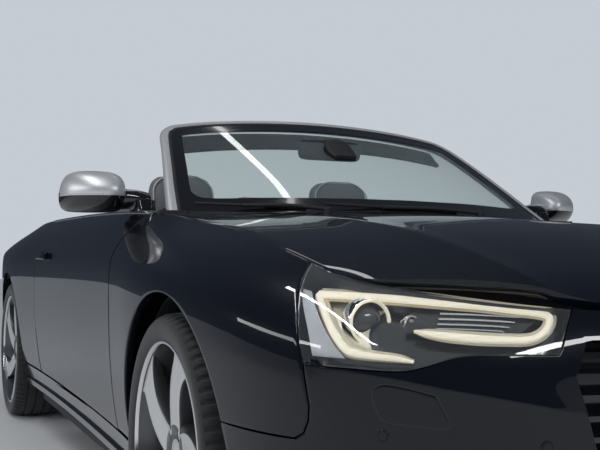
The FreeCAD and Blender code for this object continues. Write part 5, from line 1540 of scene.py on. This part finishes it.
def bench_pad(name, sections, lean):
    rings = [pad_ring((x, 0, z), lean, half, depth, BENCH_POWER, 76, 8, dip=12)
             for x, z, half, depth in spline_run(behind_wall(sections), 22)]
    return closed_grid(name, rings)


def behind_wall(sections):
    return [(REAR_WALL + x, *sizes) for x, *sizes in sections]


def round_middle(points):
    """Whole line across a front seat from its outer half."""
    inner = [(x, -across, z) for x, across, z in reversed(points[:-1])]
    return [(x, SEAT_Y + across, z) for x, across, z in list(points) + inner]


class CAR_OT_seats(bpy.types.Operator):
    """Model the front seats and the rear bench with padded leather faces and light piping"""
    bl_idname = "car.seats"
    bl_label = "Seats"

    def execute(self, context):
        sizes = context.scene.car_sizes
        y = SEAT_Y
        cushion = seat_pad("seat_cushion_left", CUSHION, y, 0, 14, 26)
        back = seat_pad("seat_back_left", BACKREST, y, FRONT_LEAN, 12, 26)
        rest = seat_pad("headrest_left", HEADREST, y, FRONT_LEAN, 16, 18)
        for pad, reach in ((cushion, sizes.filling), (back, sizes.filling), (rest, 5)):
            swell(pad, reach)
        piping = [tube_along("piping", round_middle(HEADREST_PIPING), sizes.piping + 0.2, 90),
                  tube_along("piping", round_middle(BACKREST_PIPING), sizes.piping, 110)]
        piping += [tube_along("piping", [(x, y + side * across, z) for x, across, z in CUSHION_PIPING],
                              sizes.piping, 60) for side in (1, -1)]
        trim_line = smooth(join(piping, "seat_piping_left"), 60)
        seam = smooth(join([
            tube_along("seam", ((x, y - 128, z), (x + ahead, y, z + up), (x, y + 128, z)), 2.0, 30)
            for x, z, ahead, up in SEAT_SEAMS], "seat_seams_left"), 60)
        shell = smooth(seat_pad("seat_shell_left", SEAT_SHELL, y, FRONT_LEAN, 0, 20), 50)
        base = closed_grid("seat_base_left", [
            pad_ring((x, y, 292), 0, half, 24, PAD_POWER, 44, 0)
            for x, half in spline_run(SEAT_BASE, 12)], 50)
        legs = [tube_along("leg", [(x + shift, y + side * 175, z)
                                   for shift, z in ((0, 188), (0, 240), (20, 284))], 12, 14, 12)
                for x in (90, 420) for side in (-1, 1)]
        rails = [tube_along("leg", [(x, y + side * 175, 196) for x in (60, 260, 460)], 9, 14, 12)
                 for side in (-1, 1)]
        frame_legs = smooth(join(legs + rails, "seat_legs_left"), 60)
        posts = smooth(join([
            tube_along("post", [(x, y + across, z) for x, z in ((-140, 900), (-148, 950), (-150, 985))],
                       6, 10, 12)
            for across in (-52, 52)], "headrest_posts_left"), 60)
        for piece, material, slot in (
                (cushion, "leather", "leather"), (back, "leather", "leather"), (rest, "leather", "leather"),
                (trim_line, "piping", "leather"), (seam, "dash", "leather"), (shell, "dash", "leather"),
                (base, "dash", "leather"), (frame_legs, "iron", "cast_grey"), (posts, "chrome", "chrome")):
            for item in finish_pair(piece, "car_body", material,
                                    "seat_front_" if piece is cushion else None):
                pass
        bench = bench_pad("rear_cushion", REAR_CUSHION, 0)
        rear_back = bench_pad("rear_back", REAR_BACKREST, REAR_LEAN)
        for pad in (bench, rear_back):
            swell(pad, 8, voxel=0.012)
        rests = [seat_pad("rear_headrest_" + name, behind_wall(REAR_HEADREST), side * 330, REAR_LEAN, 12, 18)
                 for side, name in ((-1, "right"), (1, "left"))]
        for pad in rests:
            swell(pad, 4)
        for pad in [bench, rear_back] + rests:
            finish_piece(pad, "car_body", "leather", ["rear_seat"] if pad is bench else ())
        rear_seam = smooth(join([
            tube_along("seam", [(REAR_WALL + x, side * across, z)
                                for x, z in ((185, 600), (164, 700), (138, 830))], 2.0, 24)
            for side in (-1, 1) for across in (95, 215, 330, 420)], "rear_seams"), 60)
        finish_piece(rear_seam, "car_body", "dash")
        return {"FINISHED"}


# Cabin

STEERING_CENTRE = np.array((455.0, 370.0, 830.0))
STEERING_TILT = 24
STEERING_RADIUS = 184
# Boss of the steering wheel: height along the column, half width, half height
BOSS = ((-34, 40, 38), (-20, 66, 58), (-4, 78, 68), (10, 74, 64), (18, 60, 52), (21, 30, 26))
# A spoke: distance from the middle, height, half width
SPOKE = ((55, 2, 26), (95, -4, 20), (140, -6, 16), (176, -3, 19))
COLUMN_PROFILE = ((36, -4), (40, 4), (38, 60), (24, 66), (24, 96), (0, 96))
# Hood over the instruments: x, z, half width, half height
HOOD = ((700, 905, 120, 14), (650, 908, 150, 26), (600, 906, 158, 32), (572, 902, 156, 30),
        (566, 900, 146, 22))
VENT_PROFILE = ((34, -6), (36, 0), (36, 6), (32, 9), (30, 7), (29, 0), (10, 0), (9, 5), (0, 6))
LEVER_PROFILE = ((44, 0), (44, 4), (26, 14), (12, 30), (9, 60), (20, 72), (25, 92), (22, 108), (10, 116),
                 (0, 117))
PIVOT_PROFILE = ((11, -24), (14, -4), (13, 4), (8, 7), (0, 7.5))
# Console armrest: x, half height
ARMREST = ((-345, 14), (-330, 25), (-200, 27), (-60, 27), (-46, 14))
# Wipers: pivot and tip of the blade
WIPERS = (((982, 330, 956), (974, -250, 972)), ((986, -250, 954), (884, -650, 966)))


class CAR_OT_cabin(bpy.types.Operator):
    """Model the steering wheel, the dash's details, the centre console and the wipers"""
    bl_idname = "car.cabin"
    bl_label = "Cabin"

    def execute(self, context):
        tilt = math.radians(STEERING_TILT)
        axis = np.array((-math.cos(tilt), 0, math.sin(tilt)))
        centre = STEERING_CENTRE
        across = np.array((0.0, 1.0, 0.0))
        upward = np.cross(across, -axis)
        upward *= math.copysign(1, upward[2])
        rim_rows = []
        for turn in full_turn(120):
            out = across * math.cos(turn) + upward * math.sin(turn)
            grip = 15.5 + 1.6 * math.exp(-((math.degrees(turn) % 180 - 35) / 14) ** 2)
            rim_rows.append([(centre + out * (STEERING_RADIUS + grip * math.cos(a))
                              + axis * grip * 0.86 * math.sin(a)) * MM for a in full_turn(20)])
        grip_ring = closed_loop("steering_rim", rim_rows, 60)
        boss = closed_grid("steering_boss", [
            oval(centre + axis * height + upward * -6, across * half, upward * tall, 3.0, 44)
            for height, half, tall in spline_run(BOSS, 22)], 50)
        spokes = []
        for way in (across, -across, -upward):
            side = np.cross(way, axis)
            spokes.append(closed_grid("spoke", [
                oval(centre + way * reach + axis * height, side * half, axis * 5.5, 3.0, 20)
                for reach, height, half in spline_run(SPOKE, 14)]))
        spoke = smooth(join(spokes, "steering_spokes"), 50)
        column = turned("steering_stub", COLUMN_PROFILE, tuple(centre - axis * 110), tuple(axis), 48)
        for piece, material in (
                (grip_ring, "leather_dark"), (boss, "dash"), (spoke, "silver"), (column, "dash")):
            finish_piece(piece, "steering_wheel", material,
                         ["steering_wheel"] if piece is grip_ring else ())
        screen_box = closed_grid("dash_screen", [
            oval((x, 0, 868), (0, 92, 0), (10, 0, 42), 7.0, 48) for x in (548, 546, 534, 530)], 40)
        finish_piece(screen_box, "car_body", "gloss_black")
        hood = closed_grid("instrument_hood", [
            oval((x, 370, z), (0, half, 0), (0, 0, tall), 2.8, 44)
            for x, z, half, tall in spline_run(HOOD, 18)], 50)
        finish_piece(hood, "car_body", "dash")
        for index, y in enumerate((-690, -150, 150, 690)):
            vent = turned("air_vent_%d" % index, VENT_PROFILE, (552, y, 800), (-1, 0, 0), 48)
            finish_piece(vent, "car_body", "silver")
        strip = tube_along("dash_strip", [(551, y, 760) for y in (-700, -300, 0, 300, 700)], 5, 60)
        finish_piece(strip, "car_body", "silver")
        armrest = closed_grid("console_armrest", [
            oval((x, 0, 545), (0, 92, 0), (0, 0, tall), 3.6, 40) for x, tall in spline_run(ARMREST, 16)], 50)
        finish_piece(armrest, "car_body", "leather_dark")
        lever = turned("gear_lever", LEVER_PROFILE, (300, 0, 519), (-0.12, 0, 1), 40)
        finish_piece(lever, "car_body", "leather_dark")
        blades = []
        for base, tip in WIPERS:
            base, tip = np.array(base, float), np.array(tip, float)
            way = tip - base
            blades.append(tube_along("arm", (base, base + way * 0.3 + (0, 0, 6), base + way * 0.65), 6.5, 40))
            blades.append(tube_along("blade", (base + way * 0.15 - (14, 0, 2), base + way * 0.6 - (10, 0, -1),
                                               tip - (4, 0, 0)), 5.0, 50))
            blades.append(turned("pivot", PIVOT_PROFILE, tuple(base), (0, 0, 1), 28))
        wiper = smooth(join(blades, "wiper_arms"), 50)
        finish_piece(wiper, "car_body", "trim", ["wipers"])
        return {"FINISHED"}


# Tail

# Panels on the tail: name, corners as (y, z) places round from the lower left, lift, wall, rounded edge,
# counts of places, body, finish, slot
TAIL_PANELS = (
    ("plate_recess", ((-275, 650), (275, 650), (262, 770), (-262, 770)), 1.2, 3, 1.0, (60, 12),
     "boot_lid", "trim", "black_trim"),
    ("plate_blank", ((-258, 656), (258, 656), (258, 763), (-258, 763)), 3.0, 2.4, 1.0, (60, 12),
     "boot_lid", "lamp_grey", "silver_trim"),
    ("boot_strip", ((-330, 778), (330, 778), (326, 791), (-326, 791)), 5.0, 5, 1.6, (60, 4),
     "boot_lid", "chrome", "chrome"),
    ("lower_panel", ((-470, 262), (470, 262), (430, 372), (-430, 372)), 0.8, 3, 1.0, (70, 14),
     "car_body", "trim", "black_trim"),
    *(("lower_fin_%d" % index, ((y - 4, 266), (y + 4, 266), (y + 4, 356), (y - 4, 356)), 10.0, 12, 1.5,
       (3, 14), "car_body", "trim", "black_trim") for index, y in enumerate((-300, -180, -60, 60, 180, 300))),
    ("tail_reflector_right", ((-640, 420), (-470, 420), (-470, 440), (-640, 440)), 2.0, 4, 1.5, (20, 4),
     "car_body", "red", "red_lens"),
    ("tail_reflector_left", ((470, 420), (640, 420), (640, 440), (470, 440)), 2.0, 4, 1.5, (20, 4),
     "car_body", "red", "red_lens"),
)
TIP_PLACES = (("right", (-2190, -560, 290)), ("left", (-2190, 560, 290)))


def tail_run(start, end, count):
    """Parameters of the tail's surface along a straight line between two (y, z) places seen from behind."""
    line = np.array(run([start, end], [count]), float)
    u, v = ring.place((0, 1, 0), line[:, 0], (0, 0, 1), line[:, 1], (float(LAST), 4.0))
    return list(zip(u, v))


def tail_panel(name, corners, lift, wall, edge, counts):
    """Panel on the tail between four (y, z) corners, given round from the lower left."""
    low_left, low_right, high_right, high_left = corners
    item = patch(ring, tail_run(low_left, low_right, counts[0]), tail_run(low_right, high_right, counts[1]),
                 tail_run(high_left, high_right, counts[0]), tail_run(low_left, high_left, counts[1]),
                 name, lift)
    face_out(item, TAIL_INSIDE)
    return thicken(item, wall, edge)


class CAR_OT_tail(bpy.types.Operator):
    """Model the tail's plate recess, bright strip, reflectors and lower panel"""
    bl_idname = "car.tail"
    bl_label = "Tail"

    def execute(self, context):
        for name, corners, lift, wall, edge, counts, body, material, slot in TAIL_PANELS:
            finish_piece(tail_panel(name, corners, lift, wall, edge, counts), body, material)
        for side, place in TIP_PLACES:
            # A near-black disc closes each exhaust tip as painted shade for the pipe's hollow
            tip = turned("exhaust_inside_" + side, ((43, -2), (43, 2), (0, 2)), place, (-1, 0, 0), 48)
            finish_piece(tip, "car_body", "lamp_dark")
        return {"FINISHED"}


# Stage

FLOOR_SIZE = 60
FLOOR_COLOUR = (0.62, 0.62, 0.62)
ROOM_COLOUR = (0.56, 0.6, 0.65, 1)
MIRRORED_COLOUR = (0.045, 0.055, 0.075, 1)
# Lamps: name, place, size, turn in degrees, power
STAGE_LAMPS = (
    ("ceiling_strip", (0.2, 1.2, 4.4), (7.0, 0.10), (0, 0, 14), 7),
    ("front_strip", (2.0, -2.6, 4.0), (5.0, 0.12), (0, 0, -20), 60),
    ("side_soft", (0.2, -5.6, 2.2), (5.0, 0.5), (70, 0, 3), 45),
    ("front_soft", (6.4, 0.6, 3.2), (2.2, 0.4), (62, 0, 95), 50),
)
CAMERA_PLACE = (3.5938, -1.5354, 0.8006)
CAMERA_TURN = (155.4494, 2.0287, 0.3738)
CAMERA_LENS = 55.73
SENSOR_WIDTH = 36


def make_world():
    """Pale room light; glossy surfaces mirror a darker room."""
    world = bpy.data.worlds.new("studio")
    world.use_nodes = True
    tree = world.node_tree
    room = tree.nodes["Background"]
    room.inputs["Color"].default_value = ROOM_COLOUR
    room.inputs["Strength"].default_value = 1.0
    mirrored = add_node(tree, "ShaderNodeBackground", Color=MIRRORED_COLOUR)
    path = add_node(tree, "ShaderNodeLightPath")
    blend = add_node(tree, "ShaderNodeMixShader")
    only = add_node(tree, "ShaderNodeMath")
    only.operation = "SUBTRACT"
    only.use_clamp = True
    for source, target in (
            (path.outputs["Is Glossy Ray"], only.inputs[0]),
            (path.outputs["Is Transmission Ray"], only.inputs[1]),
            (only.outputs[0], blend.inputs["Fac"]),
            (room.outputs["Background"], blend.inputs[1]),
            (mirrored.outputs["Background"], blend.inputs[2]),
            (blend.outputs["Shader"], tree.nodes["World Output"].inputs["Surface"])):
        tree.links.new(source, target)
    return world


def camera_turn():
    """Rotation of the camera from its yaw, pitch and roll."""
    yaw, pitch, roll = (math.radians(angle) for angle in CAMERA_TURN)
    forward = Vector((math.cos(yaw) * math.cos(pitch), math.sin(yaw) * math.cos(pitch), math.sin(pitch)))
    level = Vector((math.sin(yaw), -math.cos(yaw), 0))
    above = level.cross(forward)
    right = math.cos(roll) * level + math.sin(roll) * above
    upward = math.cos(roll) * above - math.sin(roll) * level
    return Matrix((right, upward, -forward)).transposed().to_quaternion()


class CAR_OT_stage(bpy.types.Operator):
    """Set the floor, the soft lamps and the camera"""
    bl_idname = "car.stage"
    bl_label = "Stage"

    def execute(self, context):
        deselect()
        bpy.ops.mesh.primitive_plane_add(size=FLOOR_SIZE, location=(0, 0, 0))
        floor = context.object
        floor.name = "floor"
        floor.data.materials.append(shader("pale_floor", FLOOR_COLOUR, 0.6)[0])
        for name, place, size, turn, power in STAGE_LAMPS:
            data = bpy.data.lights.new(name, "AREA")
            data.shape = "RECTANGLE"
            data.size, data.size_y = size
            data.energy = power
            lamp = bpy.data.objects.new(name, data)
            lamp.location = place
            lamp.rotation_euler = [math.radians(angle) for angle in turn]
            context.collection.objects.link(lamp)
        context.scene.world = make_world()
        context.scene.view_settings.view_transform = "Standard"
        camera = bpy.data.objects.new("camera", bpy.data.cameras.new("camera"))
        context.collection.objects.link(camera)
        camera.data.sensor_width = SENSOR_WIDTH
        camera.data.lens = CAMERA_LENS
        camera.location = CAMERA_PLACE
        camera.rotation_mode = "QUATERNION"
        camera.rotation_quaternion = camera_turn()
        context.scene.camera = camera
        return {"FINISHED"}


class CAR_PT_sidebar(bpy.types.Panel):
    """Buttons for every piece of the car"""
    bl_label = "Car"
    bl_idname = "CAR_PT_sidebar"
    bl_space_type = "VIEW_3D"
    bl_region_type = "UI"
    bl_category = "Car"

    def draw(self, context):
        for group, names in (
                (context.scene.car_colours, ("paint", "silver", "wheel", "leather", "glass")),
                (context.scene.car_sizes, ("crease", "handle", "tread", "piping", "filling"))):
            for name in names:
                self.layout.prop(group, name)
        for operator in PIECES:
            self.layout.operator(operator.bl_idname)


PIECES = (CAR_OT_finishes, CAR_OT_bonnet, CAR_OT_doors, CAR_OT_wings, CAR_OT_bumper, CAR_OT_headlamps,
          CAR_OT_windscreen, CAR_OT_mirrors, CAR_OT_wheels, CAR_OT_seats, CAR_OT_cabin,
          CAR_OT_tail, CAR_OT_stage)
GROUPS = (CarColours, CarSizes)


def register():
    for item in GROUPS + PIECES + (CAR_PT_sidebar,):
        bpy.utils.register_class(item)
    bpy.types.Scene.car_colours = bpy.props.PointerProperty(type=CarColours)
    bpy.types.Scene.car_sizes = bpy.props.PointerProperty(type=CarSizes)


def unregister():
    del bpy.types.Scene.car_colours
    del bpy.types.Scene.car_sizes
    for item in reversed(GROUPS + PIECES + (CAR_PT_sidebar,)):
        bpy.utils.unregister_class(item)


def main():
    register()
    for operator in PIECES:
        group, name = operator.bl_idname.split(".")
        getattr(getattr(bpy.ops, group), name)()


if __name__ == "__main__":
    main()
